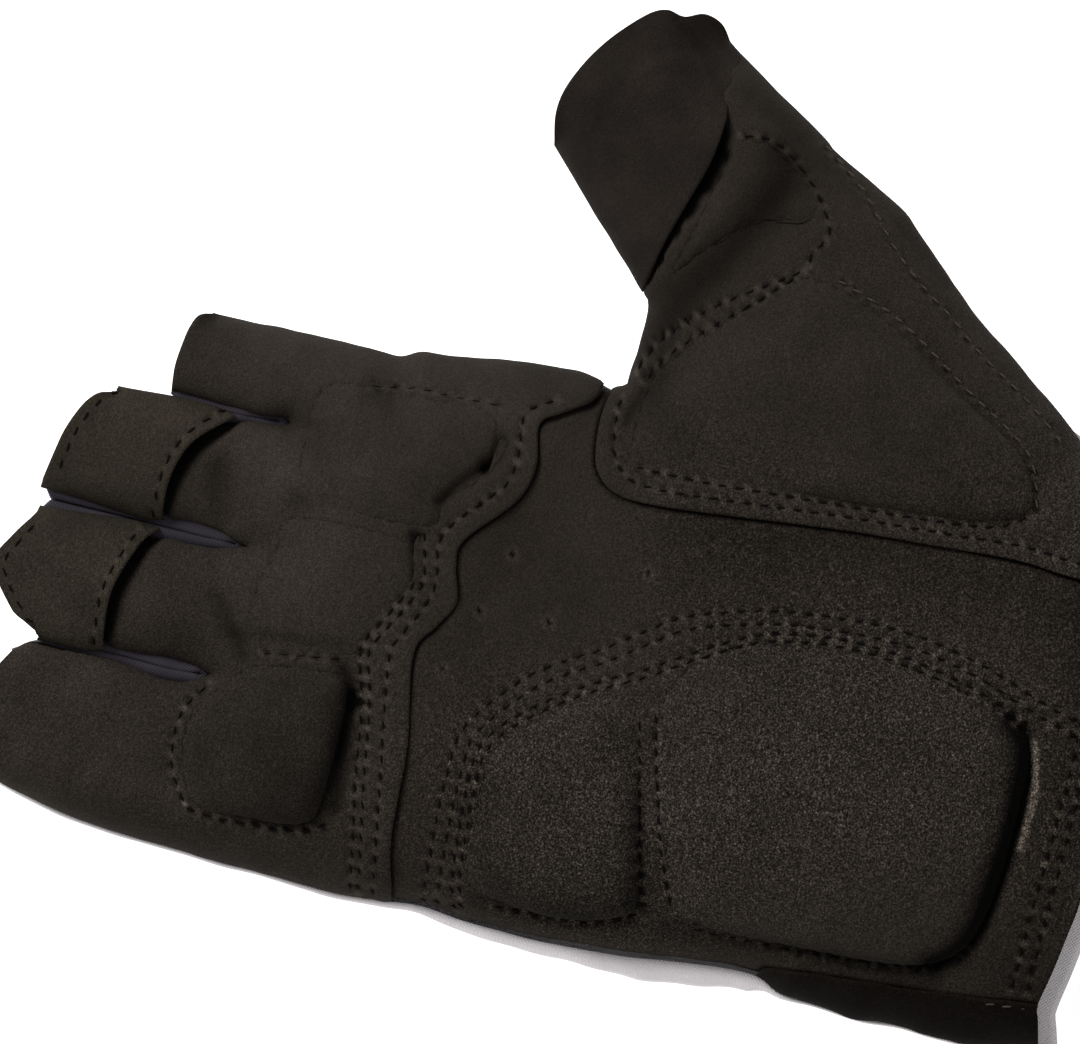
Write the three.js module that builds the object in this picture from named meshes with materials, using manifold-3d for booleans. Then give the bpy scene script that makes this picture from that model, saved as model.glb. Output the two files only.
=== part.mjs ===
// A right-hand fingerless cycling glove, lying on its back with the palm up.
// +X points to the thumb, +Y to the fingertips and +Z out of the palm. Millimetres.
// The origin is under the middle of the palm, on the flat face that the glove rests on.
import * as THREE from 'three';
import { mergeVertices } from 'three/addons/utils/BufferGeometryUtils.js';
import Module from 'manifold-3d';

const wasm = await Module();
wasm.setup();

// Plan sizes
const palmWidth = 90;
const fingerReach = 98;
const wristReach = 84;
const thumbReach = 59;

// Heights above the face that the glove rests on
const palmHeight = 27;
const cuffHeight = 24;
const fingerHeight = 20;
const thumbHeight = 21;
const seamHeight = 9;
const gussetHeight = 8;

// How far in from an edge the rounding reaches
const palmRounding = 26;
const fingerRounding = 8;
const thumbRounding = 14;
const backRounding = 7;

// Cloth and fit
const wall = 1.1;
const gap = 0.3;
const padThickness = 1.8;
const seamLap = 7;
const tabLift = 1.4;
const gussetBulge = 0.9;
const gussetInset = 0.45;
const crotchFlat = 1;
const crotchFull = 9;
const backBulge = 3.6;
const backOverhang = 3.5;
const sleeveSlack = 0.35;
const turnUpShare = 0.55;

const halfPalm = palmWidth / 2;

// Plan tables hold shares. Across: -1 is the palm's outer edge, 1 its thumb edge, 2 the thumb's tip.
// Along: -1 is the wrist, 0 the middle of the palm, 1 the longest fingertip.
const place = ([across, along]) => new THREE.Vector2(
  across > 1 ? halfPalm + (across - 1) * thumbReach : across * halfPalm,
  along * (along > 0 ? fingerReach : wristReach),
);
const route = (rows) => rows.map(place);

const OUTER_EDGE = route([
  [-1.03, -0.97], [-1.065, -0.857], [-1.07, -0.774], [-1.05, -0.68], [-1.048, -0.583], [-1.013, -0.5],
  [-0.98, -0.405], [-0.993, -0.24], [-1.02, -0.06], [-1.01, 0.15], [-1, 0.41], [-0.965, 0.65],
  [-0.91, 0.815], [-0.86, 0.94],
]);
const WRIST_EDGE = route([
  [-1.03, -0.97], [-0.667, -0.98], [-0.222, -0.998], [0.222, -1], [0.667, -0.946], [1.076, -0.815],
]);
const THUMB_ROOT = route([[1.076, -0.815], [1.025, -0.36], [0.978, 0.051]]);
const INDEX_EDGE = route([
  [0.978, 0.051], [0.955, 0.085], [0.987, 0.145], [0.97, 0.255], [0.95, 0.345], [0.902, 0.43],
  [0.902, 0.59], [0.911, 0.724],
]);
const THUMB_OUTER_EDGE = route([
  [1.076, -0.815], [1.17, -0.723], [1.34, -0.583], [1.56, -0.417], [1.68, -0.298], [1.84, -0.111],
  [1.958, 0.008],
]);
const THUMB_WEB_EDGE = route([
  [0.978, 0.051], [1.085, 0.049], [1.212, 0.047], [1.34, 0.112], [1.5, 0.204], [1.576, 0.245],
]);
const THUMB_TIP = route([
  [1.958, 0.008], [2, 0.046], [1.983, 0.122], [1.847, 0.206], [1.712, 0.248], [1.576, 0.245],
]);

// Each finger from the outer edge inward: its two edges above the crotches, then its open end
const CROTCHES = route([[-0.338, 0.617], [0.133, 0.602], [0.596, 0.582]]);
const FINGERS = [
  {
    name: 'little',
    left: OUTER_EDGE.slice(-3),
    right: [CROTCHES[0], ...route([[-0.384, 0.673], [-0.376, 0.786], [-0.376, 0.898], [-0.4, 0.942]])],
    end: route([[-0.86, 0.94], [-0.733, 0.98], [-0.578, 0.985], [-0.4, 0.942]]),
  },
  {
    name: 'ring',
    left: [CROTCHES[0], ...route([[-0.313, 0.673], [-0.309, 0.816], [-0.293, 0.939]])],
    right: [CROTCHES[1], ...route([[0.107, 0.673], [0.111, 0.765], [0.102, 0.867], [0.1, 0.946]])],
    end: route([[-0.293, 0.939], [-0.251, 0.956], [-0.111, 1], [0, 0.98], [0.1, 0.946]]),
  },
  {
    name: 'middle',
    left: [CROTCHES[1], ...route([[0.167, 0.673], [0.178, 0.765], [0.2, 0.867], [0.211, 0.951]])],
    right: [CROTCHES[2], ...route([[0.549, 0.673], [0.564, 0.796], [0.569, 0.867]])],
    end: route([[0.211, 0.951], [0.378, 0.931], [0.467, 0.913], [0.569, 0.867]]),
  },
  {
    name: 'index',
    left: [CROTCHES[2], ...route([[0.609, 0.673], [0.618, 0.774]])],
    right: INDEX_EDGE.slice(-2),
    end: route([[0.618, 0.774], [0.756, 0.771], [0.911, 0.724]]),
  },
];

// Seams that part the palm side into its panels
const FINGER_SEAM = route([
  [-1.2, 0.25], [-1, 0.252], [-0.778, 0.272], [-0.444, 0.278], [-0.12, 0.299], [0, 0.27], [0.096, 0.247],
  [0.222, 0.261], [0.318, 0.256], [0.491, 0.186], [0.622, 0.167], [0.767, 0.177], [0.824, 0.146],
  [0.889, 0.098], [0.96, 0.086], [1.05, 0.08],
]);
const THUMB_SEAM = route([
  [1.05, 0.068], [0.96, 0.073], [0.822, 0.082], [0.667, 0.071], [0.589, 0.031], [0.578, -0.048],
  [0.596, -0.18], [0.63, -0.417], [0.644, -0.595], [0.653, -0.738], [0.636, -0.845], [0.622, -1.06],
]);
const THUMB_CUT = route([
  [1.14, 0.052], [1.212, 0.046], [1.356, 0.041], [1.525, 0.013], [1.644, -0.01], [1.739, -0.015],
  [1.831, -0.012], [1.915, -0.024], [2.05, -0.04],
]);
const STRIP_SEAM = route([[-1.1, -0.4], [-0.96, -0.44], [-0.938, -0.595], [-0.918, -0.774], [-0.885, -1.06]]);

// Padded patches, each outline a closed curve through its points
const PALM_PADS = [
  {
    name: 'pad_heel_large',
    outline: route([
      [-0.81, -0.23], [-0.6, -0.19], [-0.333, -0.143], [-0.111, -0.129], [0.067, -0.18], [0.167, -0.274],
      [0.218, -0.452], [0.178, -0.667], [0.044, -0.82], [-0.222, -0.837], [-0.667, -0.81], [-0.83, -0.714],
      [-0.865, -0.476], [-0.87, -0.31],
    ]),
  },
  {
    name: 'pad_heel_small',
    outline: route([
      [-0.93, 0.075], [-0.935, -0.06], [-0.873, -0.155], [-0.778, -0.161], [-0.556, -0.137],
      [-0.222, -0.095], [-0.111, -0.048], [-0.158, 0.026], [-0.356, 0.131], [-0.489, 0.149], [-0.85, 0.145],
    ]),
  },
];
const LAPPED_PADS = [
  {
    name: 'pad_thenar',
    outline: route([
      [0.71, 0], [0.722, -0.238], [0.74, -0.476], [0.767, -0.655], [0.844, -0.738], [1.012, -0.701],
      [1.139, -0.57], [1.288, -0.417], [1.363, -0.286], [1.356, -0.202], [1.24, -0.124], [1.092, -0.02],
      [1, 0.02], [0.76, 0.025],
    ]),
  },
  {
    name: 'pad_thumb_web',
    outline: route([
      [1.29, 0.02], [1.424, 0.001], [1.593, -0.03], [1.69, -0.045], [1.702, -0.111], [1.671, -0.154],
      [1.61, -0.202], [1.559, -0.226], [1.508, -0.208], [1.5, -0.155], [1.458, -0.095], [1.37, -0.03],
    ]),
  },
  {
    name: 'pad_knuckle_little',
    outline: route([
      [-0.8, 0.6], [-0.622, 0.638], [-0.46, 0.632], [-0.37, 0.595], [-0.27, 0.55], [-0.235, 0.43],
      [-0.29, 0.39], [-0.689, 0.395], [-0.789, 0.42], [-0.811, 0.51],
    ]),
  },
  {
    name: 'pad_knuckle_ring',
    outline: route([
      [-0.16, 0.56], [-0.165, 0.4], [0, 0.367], [0.111, 0.33], [0.26, 0.342], [0.29, 0.459],
      [0.26, 0.55], [0.133, 0.556], [0, 0.575],
    ]),
  },
  {
    name: 'pad_knuckle_index',
    outline: route([
      [0.335, 0.321], [0.444, 0.301], [0.533, 0.255], [0.689, 0.24], [0.778, 0.265], [0.789, 0.388],
      [0.756, 0.531], [0.444, 0.545], [0.345, 0.49],
    ]),
  },
];

// Pull tabs: the open edge across the finger, from one side to the other
const PULL_TABS = [
  { name: 'pull_tab_ring', finger: 1, mouth: route([[-0.333, 0.796], [-0.127, 0.802], [0.047, 0.772], [0.11, 0.745]]) },
  { name: 'pull_tab_middle', finger: 2, mouth: route([[0.156, 0.745], [0.311, 0.747], [0.444, 0.724], [0.56, 0.663]]) },
];

// Hollows in the lying palm: centre and half lengths as shares of palm and finger reach, depth as a share of palm height
const DENTS = [
  { across: 0.15, along: 0.1, wide: 0.5, long: 0.16, depth: 0.1 },
  { across: -0.45, along: 0.37, wide: 0.4, long: 0.05, depth: 0.06 },
  { across: 1.15, along: -0.03, wide: 0.25, long: 0.16, depth: 0.12 },
  { across: 0.45, along: -0.55, wide: 0.16, long: 0.4, depth: 0.06 },
  { across: 0, along: 0.66, wide: 1, long: 0.04, depth: 0.04 },
];

// How far the light back shows past the outer edge, along the glove, as a share of its largest bulge
const BACK_SHOWS = [
  { along: -1, share: 0.2 },
  { along: -0.55, share: 0.25 },
  { along: -0.48, share: 0.6 },
  { along: -0.4, share: 1 },
  { along: -0.2, share: 1 },
  { along: 0.01, share: 0.62 },
  { along: 0.2, share: 0.4 },
  { along: 0.45, share: 0.1 },
  { along: 1, share: 0.1 },
];

// Curves in plan
const curveThrough = (points) => new THREE.SplineCurve(points);
const smoothLine = (points, pieces) => curveThrough(points).getSpacedPoints(pieces);
const closedOutline = (points, pieces) => {
  const lifted = points.map((p) => new THREE.Vector3(p.x, p.y, 0));
  return new THREE.CatmullRomCurve3(lifted, true, 'centripetal').getPoints(pieces)
    .slice(0, -1)
    .map((p) => new THREE.Vector2(p.x, p.y));
};

const distanceToLine = (point, line) => {
  let nearest = Infinity;
  for (let i = 0; i + 1 < line.length; i += 1) {
    const along = line[i + 1].clone().sub(line[i]);
    const reach = point.clone().sub(line[i]);
    const share = THREE.MathUtils.clamp(reach.dot(along) / along.lengthSq(), 0, 1);
    nearest = Math.min(nearest, reach.sub(along.multiplyScalar(share)).length());
  }
  return nearest;
};

// The closed edges of the plan. Open ends at the wrist, fingers and thumb aren't among them.
const edgePieces = 40;
const SIDES = [
  smoothLine(OUTER_EDGE, edgePieces),
  [...smoothLine(INDEX_EDGE, edgePieces).reverse(), ...smoothLine(THUMB_WEB_EDGE, edgePieces).slice(1)],
  smoothLine(THUMB_OUTER_EDGE, edgePieces),
];
const NOTCHES = CROTCHES.map((crotch, i) => [
  ...[...FINGERS[i].right].reverse(),
  ...FINGERS[i + 1].left.slice(1),
]);

// Depth inside the plan: a soft minimum of the distances to its edges, which leaves no crease
const softness = 4;
const insideDepth = (distances) => {
  const nearest = Math.min(...distances);
  if (nearest < 1e-6) return 0;
  const sum = distances.reduce((total, d) => total + (nearest / d) ** softness, 0);
  return nearest * sum ** (-1 / softness);
};
const roundOver = (share) => {
  const left = 1 - Math.min(share, 1);
  return Math.sqrt(1 - left * left);
};
const zone = (value, from, to) => THREE.MathUtils.smoothstep(value, from, to);
const mix = THREE.MathUtils.lerp;

const dentAt = (point) => DENTS.reduce((depth, dent) => {
  const centre = place([dent.across, dent.along]);
  const across = (point.x - centre.x) / (dent.wide * halfPalm);
  const along = (point.y - centre.y) / (dent.long * fingerReach);
  return depth + dent.depth * palmHeight * Math.exp(-across * across - along * along);
}, 0);

// Everything that the palm side and the back need to know at one point of the plan
const survey = (point) => {
  const sides = SIDES.map((line) => distanceToLine(point, line));
  const notches = NOTCHES.map((line) => distanceToLine(point, line));
  const toSide = Math.min(...sides);
  const toNotch = Math.min(...notches);
  const notchShare = toSide * toSide / (toSide * toSide + toNotch * toNotch + 1e-12);
  return {
    depth: insideDepth([...sides, ...notches]),
    split: notchShare * gussetHeight / 2,
    finger: zone(point.y, 0.42 * fingerReach, 0.64 * fingerReach),
    thumb: zone(point.x, halfPalm + 0.08 * thumbReach, halfPalm + 0.5 * thumbReach),
    cuff: zone(-point.y, 0.45 * wristReach, wristReach),
  };
};

const palmSideHeight = (point) => {
  const at = survey(point);
  const rounding = mix(mix(palmRounding, fingerRounding, at.finger), thumbRounding, at.thumb);
  const crown = mix(mix(mix(palmHeight, cuffHeight, at.cuff), fingerHeight, at.finger), thumbHeight, at.thumb);
  const foot = seamHeight + gap / 2 + at.split;
  return foot + (crown - dentAt(point) * (1 - at.finger * 0.5) - foot) * roundOver(at.depth / rounding);
};
const backHeight = (point) => {
  const at = survey(point);
  const foot = seamHeight - gap / 2 - at.split;
  return foot * (1 - roundOver(at.depth / backRounding));
};

// The plan grid: four finger strips side by side, and the thumb as a patch that shares its root
const belowWebRows = 12;
const aboveWebRows = 7;
const fingerRows = 4;
const wristBowRows = 4;
const thumbRows = 8;
const STRIP_COLUMNS = [
  [0, 0.05, 0.16, 0.35, 0.62, 0.88, 1],
  [0, 0.13, 0.37, 0.63, 0.87, 1],
  [0, 0.15, 0.5, 0.85, 1],
  [0, 0.16, 0.5, 0.8, 0.94, 1],
];

const polylineAt = (points, share) => curveThrough(points).getPointAt(share);
const atHeight = (line, y) => {
  const finder = [...line].sort((a, b) => a.y - b.y);
  const next = finder.findIndex((p) => p.y >= y);
  if (next <= 0) return (next === 0 ? finder[0] : finder[finder.length - 1]).clone();
  const [low, high] = [finder[next - 1], finder[next]];
  return low.clone().lerp(high, (y - low.y) / (high.y - low.y));
};

const webLevel = place([0, 0.051]).y;
const outerLine = smoothLine(OUTER_EDGE, 80);
const rootLine = smoothLine(THUMB_ROOT, 20);
const indexLine = smoothLine(INDEX_EDGE, 30);
const wristLine = smoothLine(WRIST_EDGE, 60);
const wristShares = [0, 0.33, 0.55, 0.77, 1];

// The five long lines between the strips, as a point for each body row
const lineAt = (line, row) => {
  const bodyRows = belowWebRows + aboveWebRows;
  const below = row <= belowWebRows;
  const share = below ? row / belowWebRows : (row - belowWebRows) / aboveWebRows;
  const start = polylineAt(wristLine, wristShares[line]);
  const topY = line === 0 ? CROTCHES[0].y : CROTCHES[Math.min(line, CROTCHES.length) - 1].y;
  const y = below ? mix(start.y, webLevel, share) : mix(webLevel, topY, share);
  if (line === 0) return atHeight(outerLine, y);
  if (line === 4) return below ? atHeight(rootLine, y) : atHeight(indexLine, y);
  const crotch = CROTCHES[line - 1];
  const whole = (y - start.y) / (crotch.y - start.y);
  return row === bodyRows ? crotch.clone() : new THREE.Vector2(mix(start.x, crotch.x, whole), y);
};

// Border kinds: 'side' closes on the back, 'end' is open
const planGrid = () => {
  const points = [];
  const faces = [];
  const keyOf = new Map();
  const add = (point) => {
    const key = `${point.x.toFixed(3)} ${point.y.toFixed(3)}`;
    if (!keyOf.has(key)) {
      keyOf.set(key, points.length);
      points.push(point);
    }
    return keyOf.get(key);
  };
  const patch = (rows) => {
    const ids = rows.map((row) => row.map(add));
    for (let r = 0; r + 1 < ids.length; r += 1) {
      for (let c = 0; c + 1 < ids[r].length; c += 1) {
        faces.push([ids[r][c], ids[r][c + 1], ids[r + 1][c + 1], ids[r + 1][c]]);
      }
    }
    return ids;
  };
  const ends = new Set();
  const bodyRows = belowWebRows + aboveWebRows;
  FINGERS.forEach((finger, strip) => {
    const columns = STRIP_COLUMNS[strip];
    const rows = [];
    for (let row = 0; row <= bodyRows; row += 1) {
      const left = lineAt(strip, row);
      const right = lineAt(strip + 1, row);
      const from = wristShares[strip];
      const to = wristShares[strip + 1];
      const fade = Math.max(0, 1 - row / wristBowRows);
      rows.push(columns.map((share) => {
        const straight = left.clone().lerp(right, share);
        if (share === 0 || share === 1 || fade === 0) return straight;
        const start = lineAt(strip, 0).lerp(lineAt(strip + 1, 0), share);
        const bow = polylineAt(wristLine, mix(from, to, share)).sub(start);
        return straight.add(bow.multiplyScalar(fade));
      }));
    }
    const leftEdge = [lineAt(strip, bodyRows), ...finger.left.slice(1)];
    const rightEdge = [lineAt(strip + 1, bodyRows), ...finger.right.slice(1)];
    const leftCurve = curveThrough(leftEdge);
    const rightCurve = curveThrough(rightEdge);
    const endCurve = curveThrough(finger.end);
    for (let row = 1; row <= fingerRows; row += 1) {
      const share = row / fingerRows;
      const left = leftCurve.getPointAt(share);
      const right = rightCurve.getPointAt(share);
      const bowed = share ** 3;
      rows.push(columns.map((column) => {
        const straight = left.clone().lerp(right, column);
        if (column === 0 || column === 1) return straight;
        const chord = finger.end[0].clone().lerp(finger.end[finger.end.length - 1], column);
        return straight.add(endCurve.getPointAt(column).sub(chord).multiplyScalar(bowed));
      }));
    }
    const ids = patch(rows);
    ids[0].forEach((id) => ends.add(id));
    ids[ids.length - 1].forEach((id) => ends.add(id));
  });

  const outer = curveThrough(THUMB_OUTER_EDGE);
  const web = curveThrough(THUMB_WEB_EDGE);
  const tip = curveThrough(THUMB_TIP);
  const thumb = [];
  for (let across = 0; across <= belowWebRows; across += 1) {
    const v = across / belowWebRows;
    const root = lineAt(4, across);
    const tipPoint = tip.getPointAt(v);
    const line = [];
    for (let along = 0; along <= thumbRows; along += 1) {
      const u = along / thumbRows;
      const sides = outer.getPointAt(u).lerp(web.getPointAt(u), v);
      const stations = root.clone().lerp(tipPoint, u);
      const lowCorners = lineAt(4, 0).lerp(tip.getPointAt(0), u);
      const highCorners = lineAt(4, belowWebRows).lerp(tip.getPointAt(1), u);
      const corners = lowCorners.lerp(highCorners, v);
      if (along === 0) line.push(root);
      else line.push(sides.add(stations).sub(corners));
    }
    thumb.push(line);
  }
  const thumbIds = patch(thumb);
  thumbIds.forEach((line) => ends.add(line[line.length - 1]));
  return { points, faces, ends };
};
const PLAN = planGrid();

// Directed edges that only one face uses, in order round each face
const borderEdges = (faces) => {
  const seen = new Set(faces.flatMap((face) => face.map((v, i) => `${v} ${face[(i + 1) % face.length]}`)));
  return faces.flatMap((face) => face
    .map((v, i) => [v, face[(i + 1) % face.length]])
    .filter(([a, b]) => !seen.has(`${b} ${a}`)));
};
const BORDER = borderEdges(PLAN.faces);
const isOpenEdge = ([a, b]) => PLAN.ends.has(a) && PLAN.ends.has(b);
const SIDE_VERTICES = new Set(BORDER.filter((edge) => !isOpenEdge(edge)).flat());

// Which way a closed edge faces in plan, at each of its vertices
const OUTWARD = new Map();
BORDER.filter((edge) => !isOpenEdge(edge)).forEach(([a, b]) => {
  const along = PLAN.points[b].clone().sub(PLAN.points[a]).normalize();
  const away = new THREE.Vector2(along.y, -along.x);
  [a, b].forEach((v) => OUTWARD.set(v, (OUTWARD.get(v) ?? new THREE.Vector2()).add(away)));
});
OUTWARD.forEach((away) => away.normalize());

// A sheet of cloth: vertices, triangles, and the way each vertex moves when the sheet is offset
const sheetNormals = (vertices, triangles) => {
  const normals = vertices.map(() => new THREE.Vector3());
  triangles.forEach(([a, b, c]) => {
    const normal = vertices[b].clone().sub(vertices[a]).cross(vertices[c].clone().sub(vertices[a]));
    [a, b, c].forEach((v) => normals[v].add(normal));
  });
  return normals.map((normal) => normal.normalize());
};
const splitFace = ([a, b, c, d]) => [[a, b, c], [a, c, d]];

const palmSheet = () => {
  const vertices = PLAN.points.map((p) => new THREE.Vector3(p.x, p.y, palmSideHeight(p)));
  const triangles = PLAN.faces.flatMap(splitFace);
  const normals = sheetNormals(vertices, triangles);
  SIDE_VERTICES.forEach((v) => normals[v].set(OUTWARD.get(v).x, OUTWARD.get(v).y, 0));
  return { vertices, triangles, normals };
};

const tableAt = (rows, along) => {
  const next = rows.findIndex((row) => row.along >= along);
  if (next <= 0) return rows[next === 0 ? 0 : rows.length - 1].share;
  const [low, high] = [rows[next - 1], rows[next]];
  return mix(low.share, high.share, (along - low.along) / (high.along - low.along));
};
const alongShare = (y) => (y > 0 ? y / fingerReach : y / wristReach);

// The back turns up at its edges to a rim that stands under the palm side's edge
const backSheet = () => {
  const shown = (p) => {
    const bulge = p.x < 0 ? backBulge * tableAt(BACK_SHOWS, alongShare(p.y)) : 0;
    const depth = distanceToLine(p, SIDES[0]) / backRounding;
    return bulge * Math.exp(-depth * depth);
  };
  const wristEnd = (p) => {
    const depth = distanceToLine(p, wristLine) / backRounding;
    return backOverhang * Math.exp(-depth * depth);
  };
  const vertices = PLAN.points.map((p, v) => {
    const away = SIDE_VERTICES.has(v) ? OUTWARD.get(v) : new THREE.Vector2();
    const height = SIDE_VERTICES.has(v) ? backHeight(p) * turnUpShare : backHeight(p);
    return new THREE.Vector3(
      p.x - shown(p) + away.x * sleeveSlack,
      p.y - wristEnd(p) + away.y * sleeveSlack,
      height,
    );
  });
  const rimOf = new Map();
  [...SIDE_VERTICES].forEach((v) => {
    const p = PLAN.points[v];
    rimOf.set(v, vertices.length);
    vertices.push(new THREE.Vector3(p.x, p.y - wristEnd(p), backHeight(p)));
  });
  const rimFaces = BORDER.filter((edge) => !isOpenEdge(edge))
    .map(([a, b]) => [b, a, rimOf.get(a), rimOf.get(b)]);
  const faces = [...PLAN.faces, ...rimFaces];
  const triangles = faces.flatMap(splitFace).map(([a, b, c]) => [a, c, b]);
  const normals = sheetNormals(vertices, triangles);
  rimOf.forEach((rim, v) => {
    const away = OUTWARD.get(v);
    normals[rim].set(away.x, away.y, 0);
  });
  return { vertices, triangles, normals };
};

// A closed slab of the sheet between two offsets
const slab = ({ vertices, triangles, normals }, low, high, lift = () => 0) => {
  const at = (offset) => vertices.map((vertex, i) => {
    const point = vertex.clone().addScaledVector(normals[i], offset);
    point.z += lift(vertex);
    return point;
  });
  const count = vertices.length;
  const walls = borderEdges(triangles).flatMap(([a, b]) => [
    [b, a, a + count],
    [b, a + count, b + count],
  ]);
  return {
    points: [...at(high), ...at(low)],
    triangles: [
      ...triangles,
      ...triangles.map(([a, b, c]) => [c + count, b + count, a + count]),
      ...walls,
    ],
  };
};

const geometryOf = ({ points, triangles }) => {
  const geometry = new THREE.BufferGeometry();
  geometry.setAttribute('position', new THREE.Float32BufferAttribute(points.flatMap((p) => [p.x, p.y, p.z]), 3));
  geometry.setIndex(triangles.flat());
  return geometry;
};

// Solids for joins and cuts
const solidOf = (geometry) => {
  const bare = geometry.clone();
  bare.deleteAttribute('normal');
  bare.deleteAttribute('uv');
  const merged = mergeVertices(bare, 1e-4);
  return new wasm.Manifold(new wasm.Mesh({
    numProp: 3,
    vertProperties: new Float32Array(merged.attributes.position.array),
    triVerts: new Uint32Array(merged.index.array),
  }));
};
const geometryFrom = (solid) => {
  const mesh = solid.getMesh();
  const geometry = new THREE.BufferGeometry();
  geometry.setAttribute('position', new THREE.Float32BufferAttribute(mesh.vertProperties, 3));
  geometry.setIndex([...mesh.triVerts]);
  return geometry;
};

const cutterDepth = palmHeight * 3;
const cutter = (outline) => {
  const geometry = new THREE.ExtrudeGeometry(new THREE.Shape(outline), {
    depth: cutterDepth,
    bevelEnabled: false,
  });
  geometry.translate(0, 0, -cutterDepth / 3);
  return solidOf(geometry);
};

// A line moved sideways, to its left when distance is positive
const shifted = (line, distance) => line.map((point, i) => {
  const before = line[Math.max(i - 1, 0)];
  const after = line[Math.min(i + 1, line.length - 1)];
  const along = after.clone().sub(before).normalize();
  return new THREE.Vector2(point.x - along.y * distance, point.y + along.x * distance);
});

// Panel regions in plan. A wide margin closes each one outside the glove.
const margin = palmWidth;
const farLeft = -halfPalm - margin;
const farRight = halfPalm + thumbReach + margin;
const farUp = fingerReach + margin;
const farDown = -wristReach - margin;
const corner = (x, y) => new THREE.Vector2(x, y);

const fingerSeam = smoothLine(FINGER_SEAM, 48);
const thumbSeam = smoothLine(THUMB_SEAM, 40);
const thumbCut = smoothLine(THUMB_CUT, 24);
const stripSeam = smoothLine(STRIP_SEAM, 18);

const fingerRegion = [...fingerSeam, corner(fingerSeam[fingerSeam.length - 1].x, farUp),
  corner(farLeft, farUp), corner(farLeft, fingerSeam[0].y)];
const thumbRegion = [...thumbSeam, corner(farRight, farDown), corner(farRight, thumbSeam[0].y)];
const thumbEndRegion = [...shifted(thumbCut, gap), corner(farRight, thumbCut[thumbCut.length - 1].y),
  corner(farRight, farUp), corner(thumbCut[0].x, farUp)];
const thumbAboveCut = [...thumbCut, corner(farRight, thumbCut[thumbCut.length - 1].y),
  corner(farRight, farUp), corner(thumbCut[0].x - gap, farUp), corner(thumbCut[0].x - gap, thumbCut[0].y)];
const stripRegion = [...shifted(stripSeam, -gap), corner(farLeft, farDown), corner(farLeft, stripSeam[0].y)];
const stripClear = [...stripSeam, corner(farLeft, farDown), corner(farLeft, stripSeam[0].y)];
const movedBy = (line, x, y) => line.map((point) => corner(point.x + x, point.y + y));
const pastFingerSeam = [...movedBy(fingerSeam, 0, seamLap), corner(farRight, farUp), corner(farLeft, farUp)];
const pastThumbSeam = [...movedBy(thumbSeam, seamLap, -seamLap / 2), corner(farRight, farDown),
  corner(farRight, farUp), corner(thumbSeam[0].x + seamLap, farUp)];
const rootX = Math.min(...THUMB_ROOT.map((p) => p.x)) - wall;
const pastThumbRoot = [corner(rootX, 0), corner(farRight, 0), corner(farRight, farUp), corner(rootX, farUp)];

const palmSide = palmSheet();
const lapped = solidOf(geometryOf(slab(palmSide, -wall, 0)));
const underLap = -wall - gap;
const inner = solidOf(geometryOf(slab(palmSide, underLap - wall, underLap)));
const innerPad = solidOf(geometryOf(slab(palmSide, underLap + gap, underLap + gap + padThickness)));
const lappedPad = solidOf(geometryOf(slab(palmSide, gap, gap + padThickness)));

const group = new THREE.Group();
const suede = (color) => new THREE.MeshStandardMaterial({ color, roughness: 0.95, metalness: 0 });
const knit = (color) => new THREE.MeshStandardMaterial({ color, roughness: 0.85, metalness: 0 });
const addPiece = (name, geometry, material) => {
  const mesh = new THREE.Mesh(geometry, material);
  mesh.name = name;
  group.add(mesh);
};

const palmPanel = inner
  .subtract(cutter(pastFingerSeam))
  .subtract(cutter(pastThumbSeam))
  .subtract(cutter(pastThumbRoot))
  .subtract(cutter(stripClear));
const fingerPanel = lapped.intersect(cutter(fingerRegion));
const thumbPanel = lapped.intersect(cutter(thumbRegion)).subtract(cutter(thumbAboveCut));
const thumbEnd = lapped.intersect(cutter(thumbEndRegion));
const cuffSideStrip = lapped.intersect(cutter(stripRegion));

addPiece('palm_panel', geometryFrom(palmPanel), suede(0x1e1a16));
addPiece('finger_panel', geometryFrom(fingerPanel), suede(0x312d28));
addPiece('thumb_panel', geometryFrom(thumbPanel), suede(0x26221f));
addPiece('thumb_end', geometryFrom(thumbEnd), suede(0x2b2724));
addPiece('cuff_side_strip', geometryFrom(cuffSideStrip), suede(0x1b1714));
addPiece('back_panel', geometryOf(slab(backSheet(), -wall, 0)), knit(0xc2c0c3));

const padPieces = 40;
PALM_PADS.forEach(({ name, outline }) => {
  addPiece(name, geometryFrom(innerPad.intersect(cutter(closedOutline(outline, padPieces)))), suede(0x2b2724));
});
LAPPED_PADS.forEach(({ name, outline }) => {
  addPiece(name, geometryFrom(lappedPad.intersect(cutter(closedOutline(outline, padPieces)))), suede(0x322e29));
});

// Pull tabs stand off the finger at their open edge and lie on it at the fingertip
PULL_TABS.forEach(({ name, finger, mouth }) => {
  const { end } = FINGERS[finger];
  const tipY = Math.max(...end.map((p) => p.y));
  const mouthY = Math.min(...mouth.map((p) => p.y));
  const lift = (p) => tabLift * (1 - zone(p.y, mouthY, tipY));
  const band = solidOf(geometryOf(slab(palmSide, gap, gap + wall, lift)));
  const left = FINGERS[finger].left[FINGERS[finger].left.length - 1];
  const right = FINGERS[finger].right[FINGERS[finger].right.length - 1];
  const edgeIn = wall;
  const outline = [
    ...smoothLine(mouth, 12),
    corner(right.x - edgeIn, right.y - wall),
    corner(right.x - edgeIn, tipY + wall),
    corner(left.x + edgeIn, tipY + wall),
    corner(left.x + edgeIn, left.y - wall),
  ];
  addPiece(name, geometryFrom(band.intersect(cutter(outline))), suede(0x37332d));
});

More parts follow.
